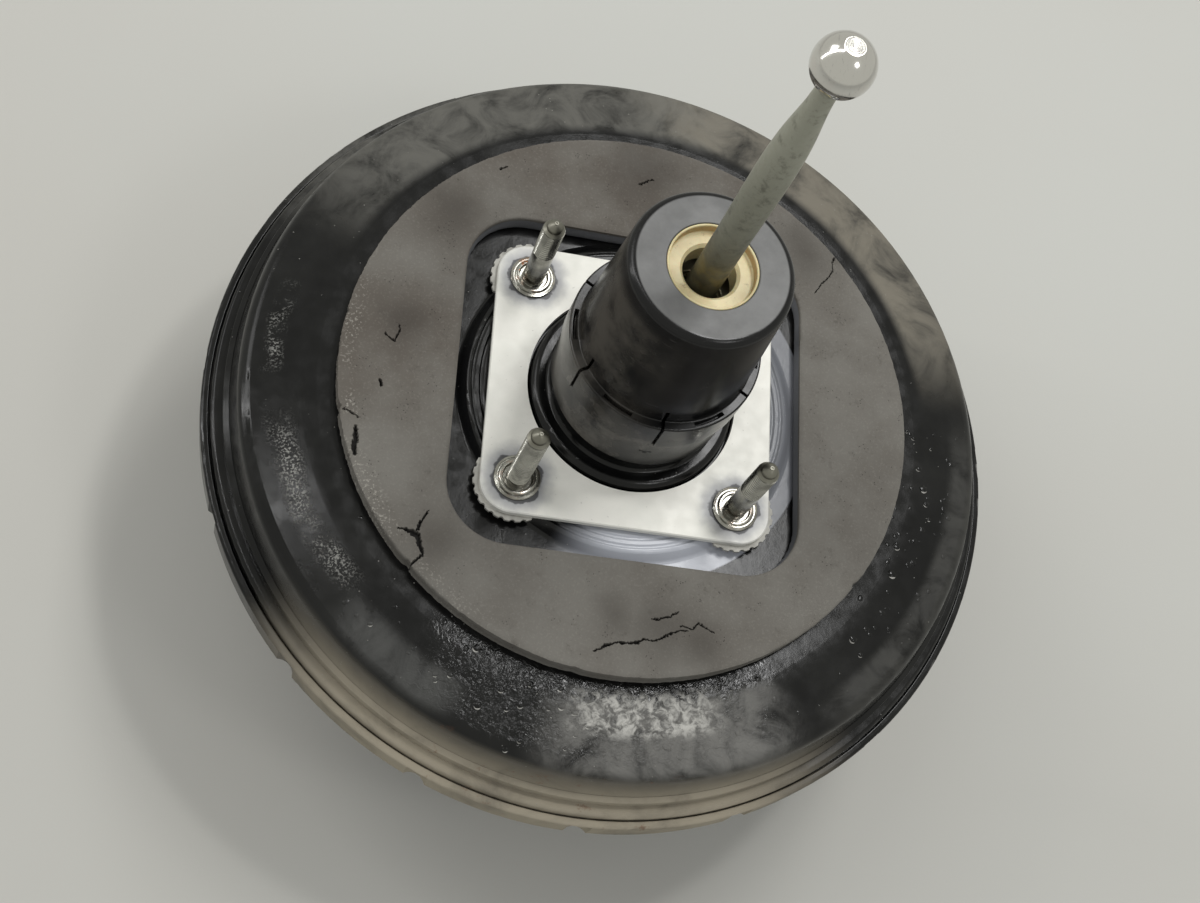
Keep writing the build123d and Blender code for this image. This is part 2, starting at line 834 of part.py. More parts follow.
chamber_radius = valve_stem_radius - chamber_wall
disc_floor = chamber_floor + face_gap
disc_face = disc_floor + disc_thickness
disc_top = disc_face + disc_pip_height
chamber_top = disc_top + disc_lift + chamber_reserve
valve_head_bottom = play + grommet_lip_height + seat_gap
with BuildPart() as valve_body:
    valve_head_radius = valve_stem_radius + valve_head_width
    with BuildSketch(valve_section):
        outline(
            (0, -sheet - valve_stem_length),
            (valve_stem_radius, -sheet - valve_stem_length, mould_round),
            (valve_stem_radius, valve_head_bottom),
            (valve_head_radius, valve_head_bottom, soft_round),
            (valve_head_radius, valve_head_bottom + valve_head_height, valve_head_round),
            (0, valve_head_bottom + valve_head_height),
        )
    revolve(axis=valve_axis)
    nipple_root = valve_plane.offset(nipple_height)
    nipple_plane = Plane(origin=nipple_root.origin, x_dir=valve_out, z_dir=valve_away)
    nipple_reach = valve_head_radius + nipple_length
    with BuildSketch(nipple_plane):
        Circle(nipple_radius + nipple_root_width)
    extrude(amount=valve_head_radius + nipple_root_length)
    with BuildSketch(nipple_plane):
        Circle(nipple_radius)
    extrude(amount=nipple_reach)
    nipple_end = valve_body.faces().sort_by(Axis(nipple_root.origin, valve_away))[-1]
    chamfer(nipple_end.edges(), mould_round)
    with BuildSketch(valve_plane.offset(chamber_floor)):
        Circle(chamber_radius)
    extrude(amount=chamber_top - chamber_floor, mode=Mode.SUBTRACT)
    with BuildSketch(valve_plane.offset(-sheet - valve_stem_length)):
        Circle(chamber_radius - chamber_seat)
    extrude(amount=chamber_floor + sheet + valve_stem_length, mode=Mode.SUBTRACT)
    with BuildSketch(nipple_plane):
        Circle(nipple_radius - nipple_wall)
    extrude(amount=nipple_reach, mode=Mode.SUBTRACT)
save(valve_body, "check_valve_body")

with BuildPart() as check_disc:
    with BuildSketch(valve_section):
        outline(
            (0, disc_floor),
            (chamber_radius - disc_gap, disc_floor, edge_round),
            (chamber_radius - disc_gap, disc_face),
            (disc_pip_radius, disc_face),
            (disc_pip_radius, disc_top, edge_round),
            (0, disc_top),
        )
    revolve(axis=valve_axis)
save(check_disc, "check_disc")

with BuildPart() as check_spring:
    check_bottom = disc_face + press_gap + check_wire
    check_height = chamber_top - press_gap - check_wire - check_bottom
    with BuildLine():
        check_path = Helix(
            pitch=check_height / check_turns,
            height=check_height,
            radius=check_spring_radius,
            center=valve_plane.offset(check_bottom).origin,
            direction=valve_out,
        )
    with BuildSketch(Plane(origin=check_path @ 0, z_dir=check_path % 0)):
        RegularPolygon(check_wire, wire_sides)
    sweep(path=check_path, is_frenet=True)
save(check_spring, "check_spring")

# Sliding hub of the piston: flange, front boss and rear tube with the valve's inner seat
with BuildPart() as piston_hub:
    plunger_bore = plunger_radius + slide_gap
    with BuildSketch(Plane.XZ):
        outline(
            (plunger_bore, reaction_rear),
            (reaction_radius, reaction_rear),
            (reaction_radius, hub_boss_front, soft_round),
            (hub_boss_radius, hub_boss_front, mould_round),
            (hub_boss_radius, hub_flange_front),
            (hub_flange_radius, hub_flange_front, soft_round),
            (hub_flange_radius, hub_flange_rear, 1.5),
            (hub_radius, hub_flange_rear, 2.0),
            (hub_radius, hub_top, mould_round),
            (hub_bore_radius, hub_top, soft_round),
            (hub_bore_radius, valve_floor, mould_round),
            (seat_radius, valve_floor),
            (seat_radius, valve_floor + seat_height, soft_round),
            (seat_inner_radius, valve_floor + seat_height, soft_round),
            (head_pocket_radius, valve_floor - soft_round),
            (head_pocket_radius, head_pocket_floor),
            (plunger_bore, head_pocket_floor),
        )
    revolve(axis=Axis.Z)
    key_tail = plunger_radius + key_tail_gap
    with BuildSketch(Plane.XY.offset(key_bottom - play)):
        with Locations(((key_reach - key_tail) / 2, 0)):
            Rectangle(key_reach + key_tail, key_width + 2 * play)
    extrude(amount=key_thickness + 2 * play, mode=Mode.SUBTRACT)
    with BuildSketch(Plane.XY.offset(hub_flange_rear - pocket_depth)):
        with PolarLocations((hub_radius + hub_flange_radius) / 2, hub_pockets):
            Circle(pocket_radius)
    extrude(amount=pocket_depth, mode=Mode.SUBTRACT)
save(piston_hub, "piston_hub")

# Stop key: a fork through the hub that holds the plunger and stops the piston at the shell
with BuildPart() as stop_key:
    with BuildSketch(Plane.XY.offset(key_bottom)):
        with Locations(((key_reach - plunger_radius) / 2, 0)):
            Rectangle(key_reach + plunger_radius, key_width)
        with Locations((-plunger_radius / 2, 0)):
            Rectangle(plunger_radius, 2 * (groove_radius + play), mode=Mode.SUBTRACT)
        Circle(groove_radius + play, mode=Mode.SUBTRACT)
    extrude(amount=key_thickness)
    fillet(stop_key.edges().filter_by(Axis.Z).sort_by(Axis.X)[-2:], key_round)
save(stop_key, "stop_key")

# Steel plate behind the diaphragm
support_foot = hub_flange_front - support_thickness - face_gap
with BuildPart() as diaphragm_plate:
    support_under = support_height - support_thickness
    with BuildSketch(Plane.XZ):
        sheet_section(
            support_thickness,
            (hub_boss_radius + play, support_foot),
            (web_inner_radius, support_foot, web_round),
            (web_outer_radius, support_under, web_round),
            (support_radius - support_turn / 2, support_under, 3.0),
            (support_radius, support_under - support_turn),
        )
    revolve(axis=Axis.Z)
save(diaphragm_plate, "diaphragm_plate")

# Rubber diaphragm: inner bead on the hub's flange, web over the plate, loop and clamped rim
with BuildPart() as diaphragm:
    web_foot = hub_flange_front + play
    web_height = support_height + play
    inner_bead_radius = hub_flange_radius + seat_gap
    loop_floor = ledge_height + sheet + loop_floor_gap
    loop_radius = support_radius + loop_gap
    bead_web = bead_top - bead_neck_drop
    with BuildSketch(Plane.XZ):
        sheet_section(
            diaphragm_thickness,
            (inner_bead_radius + seat_gap, web_foot),
            (web_inner_radius - edge_round, web_foot, web_round + support_thickness),
            (web_outer_radius - edge_round, web_height, web_round),
            (support_radius - support_turn / 2 + mould_round / 2, web_height, 3.4),
            (loop_radius, support_height - loop_drop, 3.4),
            (loop_radius + loop_lean, loop_floor, 2.2),
            (loop_radius + loop_lean + loop_width, loop_floor, 2.2),
            (bead_inner_radius - bead_neck, bead_web, mould_round),
            (bead_inner_radius + mould_round, bead_web),
        )
        outline(
            (bead_inner_radius, bead_bottom, mould_round),
            (bead_radius, bead_bottom, mould_round),
            (bead_radius, bead_top, mould_round),
            (bead_inner_radius, bead_top, mould_round),
        )
        outline(
            (inner_bead_radius, web_foot, mould_round),
            (inner_bead_radius + inner_bead_width, web_foot, mould_round),
            (inner_bead_radius + inner_bead_width, web_foot + inner_bead_height, 1.5),
            (inner_bead_radius, web_foot + inner_bead_height, 1.5),
        )
    revolve(axis=Axis.Z)
save(diaphragm, "diaphragm")

# Reaction disc, output rod and the clip that holds them in the hub
reaction_disc_radius = reaction_radius - play
with BuildPart() as reaction_disc:
    with BuildSketch(Plane.XZ):
        outline(
            (0, reaction_front),
            (reaction_disc_radius, reaction_front, soft_round),
            (reaction_disc_radius, reaction_rear - face_gap, soft_round),
            (0, reaction_rear - face_gap),
        )
    revolve(axis=Axis.Z)
save(reaction_disc, "reaction_disc")

with BuildPart() as output_rod:
    output_tip_radius = output_rod_radius - output_tip_step
    output_shoulder = output_tip + output_tip_length
    with BuildSketch(Plane.XZ):
        outline(
            (0, output_tip),
            (output_tip_radius, output_tip, output_tip_round),
            (output_tip_radius, output_shoulder, mould_round),
            (output_rod_radius, output_shoulder + output_tip_cone, mould_round),
            (output_rod_radius, reaction_front - reaction_head, 2.5),
            (reaction_disc_radius, reaction_front - reaction_head, soft_round),
            (reaction_disc_radius, reaction_front - face_gap),
            (0, reaction_front - face_gap),
        )
    revolve(axis=Axis.Z)
save(output_rod, "output_rod")

with BuildPart() as output_clip:
    clip_radius = hub_boss_radius + press_gap + clip_sheet
    with BuildSketch(Plane.XZ):
        sheet_section(
            clip_sheet,
            (output_rod_radius + clip_hole_gap, clip_height - clip_sheet),
            (clip_radius, clip_height - clip_sheet, 1.8),
            (clip_radius, hub_boss_front + clip_length),
        )
    revolve(axis=Axis.Z)
save(output_clip, "output_clip")

# Return spring between the diaphragm plate and the front plate
with BuildPart() as return_spring:
    with BuildLine():
        return_path = coil(
            return_wire,
            return_turns,
            front_plate_top + press_gap,
            support_foot - press_gap,
            return_bottom_radius,
            return_top_radius,
        )
    with BuildSketch(Plane(origin=return_path @ 0, z_dir=return_path % 0)):
        Circle(return_wire)
    sweep(path=return_path, is_frenet=True)
save(return_spring, "return_spring")

# Valve plunger: guided spool with the key groove, the seat head and the crimped ball socket
with BuildPart() as valve_plunger:
    plunger_front = reaction_rear + input_stroke + play
    plunger_seat = poppet_face - press_gap
    socket_mouth = joint_height + liner_half_height + cup_mouth
    mouth_radius = sqrt(socket_radius**2 - (liner_half_height + cup_mouth) ** 2)
    with BuildSketch(Plane.XZ):
        outline(
            (0, plunger_front),
            (plunger_radius, plunger_front, soft_round),
            (plunger_radius, groove_bottom, edge_round),
            (groove_radius, groove_bottom, soft_round),
            (groove_radius, groove_top, soft_round),
            (plunger_head_radius, groove_top, soft_round),
            (plunger_head_radius, plunger_seat, edge_round),
            (plunger_cup_radius, plunger_seat, edge_round),
            (plunger_cup_radius, socket_mouth + mould_round, mould_round),
            (mouth_radius, socket_mouth),
            (0, socket_mouth),
        )
    revolve(axis=Axis.Z)
    with Locations((0, 0, joint_height)):
        Sphere(socket_radius, mode=Mode.SUBTRACT)
save(valve_plunger, "valve_plunger")

with BuildPart() as ball_liner:
    with Locations((0, 0, joint_height)):
        Sphere(liner_outer_radius)
        Sphere(inner_ball_radius + ball_gap, mode=Mode.SUBTRACT)
    split(bisect_by=Plane.XY.offset(joint_height + liner_half_height), keep=Keep.BOTTOM)
    split(bisect_by=Plane.XY.offset(joint_height - liner_half_height), keep=Keep.TOP)
save(ball_liner, "ball_liner")

# Pedal rod: inner ball, neck, shank with its flange and swell, taper and the pedal ball
with BuildPart() as pedal_rod:
    inner_ball_root = joint_height + sqrt(inner_ball_radius**2 - rod_neck_radius**2)
    rod_neck_top = joint_height + rod_neck_length
    swell_height = ball_height - swell_drop
    ball_root = ball_height - sqrt(ball_radius**2 - rod_tip_radius**2)
    ball_top = ball_height + sqrt(ball_radius**2 - ball_flat_radius**2)
    with BuildSketch(Plane.XZ):
        with BuildLine():
            inner_arc = ThreePointArc(
                (0, joint_height - inner_ball_radius),
                (inner_ball_radius, joint_height),
                (rod_neck_radius, inner_ball_root),
            )
            neck_line = Line(inner_arc @ 1, (rod_neck_radius, rod_neck_top))
            cone_line = Line(neck_line @ 1, (rod_radius, rod_neck_top + rod_cone_length))
            shank_line = Line(cone_line @ 1, (rod_radius, swell_height - swell_length))
            taper_line = Spline(
                shank_line @ 1,
                (rod_radius + rod_swell, swell_height),
                (rod_radius - taper_step, ball_height - taper_drop),
                (rod_tip_radius + tip_step, ball_height - tip_drop),
                (rod_tip_radius, ball_root),
                tangents=((0, 1), (0, 1)),
            )
            ball_arc = ThreePointArc(
                taper_line @ 1, (ball_radius, ball_height), (ball_flat_radius, ball_top)
            )
            flat_line = Line(ball_arc @ 1, (0, ball_top))
            Line(flat_line @ 1, inner_arc @ 0)
        make_face()
        outline(
            (0, rod_flange_bottom),
            (rod_radius + rod_flange_width, rod_flange_bottom, edge_round),
            (rod_radius + rod_flange_width, rod_flange_bottom + rod_flange_height, edge_round),
            (0, rod_flange_bottom + rod_flange_height),
        )
    revolve(axis=Axis.Z)
save(pedal_rod, "pedal_rod")

with BuildPart() as rod_spring_seat:
    with BuildSketch(Plane.XZ):
        outline(
            (rod_radius + face_gap, rod_seat_height, edge_round),
            (rod_seat_radius, rod_seat_height, edge_round),
            (rod_seat_radius, rod_seat_height + rod_seat_thickness, edge_round),
            (rod_radius + face_gap, rod_seat_height + rod_seat_thickness, edge_round),
        )
    revolve(axis=Axis.Z)
save(rod_spring_seat, "rod_spring_seat")

# Poppet: rubber face and bellows, its steel retainer and spring
poppet_back = poppet_face + poppet_thickness
with BuildPart() as poppet_seal:
    face_radius_out = seat_radius + poppet_lap
    bellows_radius = hub_bore_radius - seat_gap
    fold_radius = bellows_radius - poppet_fold_gap
    fold_height = poppet_back + poppet_fold + mould_round
    with BuildSketch(Plane.XZ):
        outline(
            (poppet_hole_radius, poppet_face, edge_round),
            (face_radius_out, poppet_face, soft_round),
            (face_radius_out, poppet_back + mould_round, soft_round),
            (fold_radius, fold_height, mould_round),
            (face_radius_out, fold_height + poppet_fold, mould_round),
            (bellows_radius, poppet_top - poppet_seat, soft_round),
            (bellows_radius, poppet_top),
            (bellows_radius - poppet_brim, poppet_top),
            (bellows_radius - poppet_brim, poppet_top - poppet_brim_height),
            (bellows_radius - poppet_skin, poppet_top - poppet_seat, soft_round),
            (face_radius_out - poppet_skin, fold_height + poppet_fold, mould_round),
            (fold_radius - poppet_skin, fold_height, mould_round),
            (face_radius_out - poppet_skin, poppet_back, edge_round),
            (poppet_hole_radius, poppet_back, edge_round),
        )
    revolve(axis=Axis.Z)
save(poppet_seal, "poppet_seal")

retainer_bottom = poppet_top + face_gap
retainer_floor = retainer_bottom + retainer_flange
retainer_radius = hub_bore_radius - press_gap
retainer_cup_radius = retainer_radius - retainer_wall
with BuildPart() as poppet_retainer:
    retainer_top = retainer_bottom + retainer_height
    retainer_hole_radius = poppet_hole_radius + seat_gap
    with BuildSketch(Plane.XZ):
        outline(
            (retainer_hole_radius, retainer_bottom, edge_round),
            (retainer_radius, retainer_bottom),
            (retainer_radius, retainer_top, soft_round),
            (retainer_cup_radius, retainer_top, edge_round),
            (retainer_cup_radius, retainer_floor, soft_round),
            (retainer_hole_radius, retainer_floor, edge_round),
        )
    revolve(axis=Axis.Z)
save(poppet_retainer, "poppet_retainer")

with BuildPart() as poppet_spring:
    poppet_spring_radius = plunger_cup_radius + poppet_spring_gap + poppet_wire
    with BuildLine():
        poppet_path = coil(
            poppet_wire,
            poppet_turns,
            poppet_back + press_gap,
            retainer_bottom - face_gap,
            poppet_spring_radius,
            poppet_spring_radius,
        )
    with BuildSketch(Plane(origin=poppet_path @ 0, z_dir=poppet_path % 0)):
        RegularPolygon(poppet_wire, wire_sides)
    sweep(path=poppet_path, is_frenet=True)
save(poppet_spring, "poppet_spring")

with BuildPart() as rod_return_spring:
    with BuildLine():
        rod_path = coil(
            rod_wire,
            rod_spring_turns,
            retainer_floor + press_gap,
            rod_seat_height - press_gap,
            retainer_cup_radius - rod_spring_margin - rod_wire,
            rod_spring_radius,
        )
    with BuildSketch(Plane(origin=rod_path @ 0, z_dir=rod_path % 0)):
        RegularPolygon(rod_wire, wire_sides)
    sweep(path=rod_path, is_frenet=True)
save(rod_return_spring, "rod_return_spring")

# Air filter in the hub's tube and the ring that holds it
with BuildPart() as air_filter:
    with BuildSketch(Plane.XZ):
        outline(
            (filter_hole_radius, filter_bottom),
            (filter_radius, filter_bottom),
            (filter_radius, filter_top),
            (filter_hole_radius, filter_top),
        )
    revolve(axis=Axis.Z)
save(air_filter, "air_filter")

with BuildPart() as filter_ring:
    ring_foot = filter_top + face_gap
    ring_brim = hub_top - edge_round
    ring_outer_radius = hub_bore_radius - press_gap
    ring_inner_radius = ring_outer_radius - filter_ring_wall
    ring_bore_radius = filter_hole_radius + filter_ring_margin
    with BuildSketch(Plane.XZ):
        outline(
            (ring_bore_radius, ring_foot, edge_round),
            (ring_outer_radius, ring_foot),
            (ring_outer_radius, ring_brim, soft_round),
            (ring_inner_radius, ring_brim, edge_round),
            (ring_inner_radius, ring_foot + filter_ring_base, soft_round),
            (ring_bore_radius, ring_foot + filter_ring_base, edge_round),
        )
    revolve(axis=Axis.Z)
save(filter_ring, "filter_retainer")
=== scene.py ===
"""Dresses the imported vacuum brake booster: finishes, remade pieces, light and camera.

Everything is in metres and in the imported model's own frame: the origin is the centre of the
stud plate's outer face and +Z runs along the axis towards the pedal ball.
"""

import json
import logging
from dataclasses import dataclass, field
from enum import Enum
from math import atan2, ceil, cos, exp, pi, radians, sin, sqrt
from random import Random
from typing import Sequence

import bmesh
import bpy
from mathutils import Matrix, Vector, noise
from mathutils.bvhtree import BVHTree


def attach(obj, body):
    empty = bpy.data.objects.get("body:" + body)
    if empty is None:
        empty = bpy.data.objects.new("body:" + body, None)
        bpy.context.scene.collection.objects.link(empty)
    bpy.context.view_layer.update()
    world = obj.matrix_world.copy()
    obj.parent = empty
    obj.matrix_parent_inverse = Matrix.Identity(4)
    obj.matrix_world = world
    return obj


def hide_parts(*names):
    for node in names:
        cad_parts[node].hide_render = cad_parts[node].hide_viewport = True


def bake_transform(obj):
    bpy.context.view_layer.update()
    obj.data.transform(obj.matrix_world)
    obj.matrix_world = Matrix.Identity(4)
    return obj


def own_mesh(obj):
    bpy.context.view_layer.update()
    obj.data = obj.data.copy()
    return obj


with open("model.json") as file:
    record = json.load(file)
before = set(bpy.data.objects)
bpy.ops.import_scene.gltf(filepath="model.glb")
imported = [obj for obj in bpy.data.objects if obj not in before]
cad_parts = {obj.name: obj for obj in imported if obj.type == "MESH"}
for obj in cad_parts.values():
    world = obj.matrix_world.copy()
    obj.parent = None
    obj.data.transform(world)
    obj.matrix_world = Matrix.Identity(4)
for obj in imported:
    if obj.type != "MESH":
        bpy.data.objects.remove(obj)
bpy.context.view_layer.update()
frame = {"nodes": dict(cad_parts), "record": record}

log = logging.getLogger("booster")

Socket = bpy.types.NodeSocket
Material = bpy.types.Material
Object = bpy.types.Object
BMesh = bmesh.types.BMesh
Value = Socket | float
Colour = tuple[float, float, float]
Span = tuple[float, float]
Triple = tuple[float, float, float]
Spot = tuple[float, float]
Profile = Sequence[tuple[float, float]]
Marks = tuple[Triple, ...]

MM = 0.001
MERGE = 1e-6
UP = Vector((0.0, 0.0, 1.0))


class Body(Enum):
    """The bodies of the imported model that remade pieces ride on."""

    HOUSING = "housing"
    PISTON = "power_piston"


class Slot(Enum):
    """Names of the record's material slots for the remade pieces."""

    STUD = "zinc_stud"
    FOAM = "gasket_foam"
    SHELL = "shell_paint"
    SPRING = "spring_steel"
    RUBBER = "rubber"


def tone(red: float, green: float, blue: float) -> Colour:
    """Turns a colour as a screen shows it into linear light.

    Args:
        red, green, blue: Values from 0 to 255.

    Returns:
        The linear colour.
    """
    def linear(value: float) -> float:
        """One channel of it."""
        share = value / 255
        return share / 12.92 if share <= 0.04045 else ((share + 0.055) / 1.055) ** 2.4

    return linear(red), linear(green), linear(blue)


class Recipe:
    """A node material put together step by step on Object coordinates, with x, y and z in millimetres."""

    def __init__(self, name: str, roughness: float = 0.5, metallic: float = 0.0) -> None:
        """Starts a material with its shader.

        Args:
            name: The material's name.
            roughness: The shader's own roughness.
            metallic: The shader's own metallic value.
        """
        self.material = bpy.data.materials.new(name)
        self.material.use_nodes = True
        self.tree = self.material.node_tree
        self.shader = self.tree.nodes["Principled BSDF"]
        self.set("Roughness", roughness)
        self.set("Metallic", metallic)
        self.point = self.tree.nodes.new("ShaderNodeTexCoord").outputs["Object"]
        split = self.node("ShaderNodeSeparateXYZ", Vector=self.stretched((1 / MM, 1 / MM, 1 / MM)))
        self.x, self.y, self.z = split.outputs[:3]
        self.colour: Socket | Colour = tone(0, 0, 0)

    def node(self, kind: str, **inputs: object) -> bpy.types.Node:
        """Adds a node and fills its inputs by name.

        Args:
            kind: The node's type.
            inputs: Sockets or plain values by input name.

        Returns:
            The new node.
        """
        made = self.tree.nodes.new(kind)
        for name, value in inputs.items():
            self.feed(made.inputs[name.replace("_", " ")], value)
        return made

    def feed(self, target: Socket, value: object) -> None:
        """Links a socket or sets a plain value, with alpha added to a bare colour.

        Args:
            target: The input that gets it.
            value: A socket, a number, a vector or a colour.
        """
        if isinstance(value, Socket):
            self.tree.links.new(value, target)
        elif isinstance(value, tuple) and target.type == "RGBA":
            target.default_value = (*value, 1.0)
        else:
            target.default_value = value

    def set(self, name: str, value: object) -> None:
        """Sets or links one of the shader's own sockets."""
        self.feed(self.shader.inputs[name], value)

    def maths(self, operation: str, first: Value, second: Value = 0.0) -> Socket:
        """Works out one sum, product or other operation.

        Args:
            operation: Blender's name of the operation.
            first: The first number.
            second: The second number, where the operation has one.

        Returns:
            The result.
        """
        made = self.tree.nodes.new("ShaderNodeMath")
        made.operation = operation
        self.feed(made.inputs[0], first)
        self.feed(made.inputs[1], second)
        return made.outputs[0]

    def sum(self, first: Value, second: Value) -> Socket:
        """Adds two numbers."""
        return self.maths("ADD", first, second)

    def less(self, first: Value, second: Value) -> Socket:
        """Takes the second number from the first."""
        return self.maths("SUBTRACT", first, second)

    def size(self, value: Value) -> Socket:
        """The number without its sign."""
        return self.maths("ABSOLUTE", value)

    def chain(self, operation: str, *values: Value) -> Value:
        """Works one operation through all its values.

        Args:
            operation: Blender's name of the operation.
            values: The numbers, from the first to the last.

        Returns:
            The result, which is the value itself where there is only one.
        """
        total = values[0]
        for value in values[1:]:
            total = self.maths(operation, total, value)
        return total

    def product(self, *factors: Value) -> Value:
        """Multiplies all its factors."""
        return self.chain("MULTIPLY", *factors)

    def most(self, *values: Value) -> Value:
        """The largest of its values."""
        return self.chain("MAXIMUM", *values)

    def ramp(self, value: Value, low: float, high: float, start: float = 0.0,
             end: float = 1.0) -> Socket:
        """A smooth step from start to end while the value goes from low to high.

        Args:
            value: What drives the step.
            low: The value where it starts.
            high: The value where it ends, which may be the lower one.
            start: The result before low.
            end: The result after high.

        Returns:
            The eased result.
        """
        if low > high:
            low, high, start, end = high, low, end, start
        made = self.node("ShaderNodeMapRange", Value=value, From_Min=low, From_Max=high,
                         To_Min=start, To_Max=end)
        made.interpolation_type = "SMOOTHSTEP"
        return made.outputs[0]

    def band(self, value: Value, low: float, high: float, edge: float) -> Socket:
        """One between low and high, with soft edges of the given width, and nothing elsewhere."""
        return self.product(self.ramp(value, low - edge, low + edge),
                            self.ramp(value, high + edge, high - edge))

    def noise(self, scale: float, detail: float = 2.0, rough: float = 0.5, warp: float = 0.0,
              vector: Socket | None = None) -> Socket:
        """A soft random pattern.

        Args:
            scale: Its grain per metre.
            detail: The number of finer layers.
            rough: How strong the finer layers are.
            warp: How far it is distorted.
            vector: The coordinates, or the object's own.

        Returns:
            A value around one half.
        """
        made = self.node("ShaderNodeTexNoise", Vector=vector or self.point, Scale=scale, Detail=detail,
                         Roughness=rough, Distortion=warp)
        return made.outputs[0]

    def strayed(self, value: Value, reach: float, scale: float, detail: float) -> Socket:
        """A value that wanders to and fro by up to half the reach."""
        return self.sum(value, self.product(self.less(self.noise(scale, detail), 0.5), reach))

    def cells(self, scale: float) -> Socket:
        """The distance to the middle of each cell in a pattern of the given grain per metre."""
        return self.node("ShaderNodeTexVoronoi", Vector=self.point, Scale=scale).outputs["Distance"]

    def attribute(self, name: str) -> Socket:
        """What a piece's own vertices say under a name."""
        made = self.tree.nodes.new("ShaderNodeAttribute")
        made.attribute_name = name
        return made.outputs["Fac"]

    def stretched(self, along: Triple) -> Socket:
        """The object's coordinates with each axis scaled, for grain that runs one way.

        Args:
            along: The scale of each axis.

        Returns:
            The scaled coordinates.
        """
        made = self.node("ShaderNodeVectorMath")
        made.operation = "MULTIPLY"
        self.feed(made.inputs[0], self.point)
        made.inputs[1].default_value = along
        return made.outputs[0]

    def mix(self, share: Value, first: object, second: object) -> Socket:
        """Blends two colours by a share from 0 to 1.

        Args:
            share: How much of the second there is.
            first: The colour at 0.
            second: The colour at 1.

        Returns:
            The blend.
        """
        made = self.tree.nodes.new("ShaderNodeMix")
        made.data_type = "RGBA"
        self.feed(made.inputs[0], share)
        self.feed(made.inputs[6], first)
        self.feed(made.inputs[7], second)
        return made.outputs[2]

    def ground(self, share: Value, first: Colour, second: Colour) -> None:
        """Starts the colour as a blend of two."""
        self.colour = self.mix(share, first, second)

    def paint(self, colour: Colour, *shares: Value) -> None:
        """Lays a further colour over what is there, by the product of its shares."""
        self.colour = self.mix(self.product(*shares), self.colour, colour)

    def done(self) -> Material:
        """Hands the colour to the shader and gives back the finished material."""
        self.set("Base Color", self.colour)
        return self.material

    def radius(self, x: Value | None = None, y: Value | None = None) -> Socket:
        """The distance from the axis, or the length of the two given parts.

        Args:
            x: The first part, or the object's own.
            y: The second part, or the object's own.

        Returns:
            The distance in millimetres.
        """
        across = x if x is not None else self.x
        along = y if y is not None else self.y
        return self.maths("SQRT", self.sum(self.product(across, across), self.product(along, along)))

    def facing(self, azimuth: float, inner: float, outer: float) -> Socket:
        """A soft sector round the axis.

        Args:
            azimuth: The sector's middle in degrees from +X.
            inner: The half angle in degrees up to which it is full.
            outer: The half angle in degrees at which it has faded.

        Returns:
            One inside the sector and nothing outside.
        """
        along, across = cos(radians(azimuth)), sin(radians(azimuth))
        turned = self.sum(self.product(self.x, along), self.product(self.y, across))
        share = self.maths("DIVIDE", turned, self.radius())
        return self.ramp(share, cos(radians(outer)), cos(radians(inner)))

    def bump(self, height: Socket, depth: float, strength: float = 1.0) -> None:
        """Adds relief of a real depth in millimetres over what the shader already has.

        Args:
            height: The pattern that raises it.
            depth: How deep the pattern goes from 0 to 1.
            strength: The share of the relief that shows.
        """
        made = self.node("ShaderNodeBump", Height=height, Distance=depth * MM, Strength=strength)
        before = self.shader.inputs["Normal"]
        if before.is_linked:
            self.tree.links.new(before.links[0].from_socket, made.inputs["Normal"])
        self.tree.links.new(made.outputs["Normal"], before)


@dataclass(frozen=True)
class Finish:
    """A finish that varies softly in colour and gloss, with fine relief."""

    name: str
    colour: Colour
    shade: Colour
    roughness: float = 0.45
    spread: float = 0.1
    metallic: float = 0.0
    grain: float = 900.0
    depth: float = 0.02
    cloud: float = 40.0

    def material(self) -> Material:
        """Builds the finish from its clouds of colour, its gloss and its relief.

        Returns:
            The material.
        """
        recipe = Recipe(self.name, self.roughness, self.metallic)
        recipe.ground(recipe.ramp(recipe.noise(self.cloud, 5.0, 0.6), 0.35, 0.65), self.colour, self.shade)
        fine = recipe.noise(self.grain, 3.0, 0.6)
        glossy, dull = self.roughness - self.spread, self.roughness + self.spread
        recipe.set("Roughness", recipe.ramp(fine, 0.25, 0.75, glossy, dull))
        recipe.bump(fine, self.depth)
        return recipe.done()


@dataclass(frozen=True)
class Stain:
    """A patch of dust, streaks, powder or painted highlight on the shells, placed by azimuth and radius."""

    azimuth: float
    spread: float
    inner: float
    outer: float
    colour: Colour
    strength: float
    grain: float = 60.0
    cut: float = 0.5
    soft: float = 0.15
    powder: bool = False


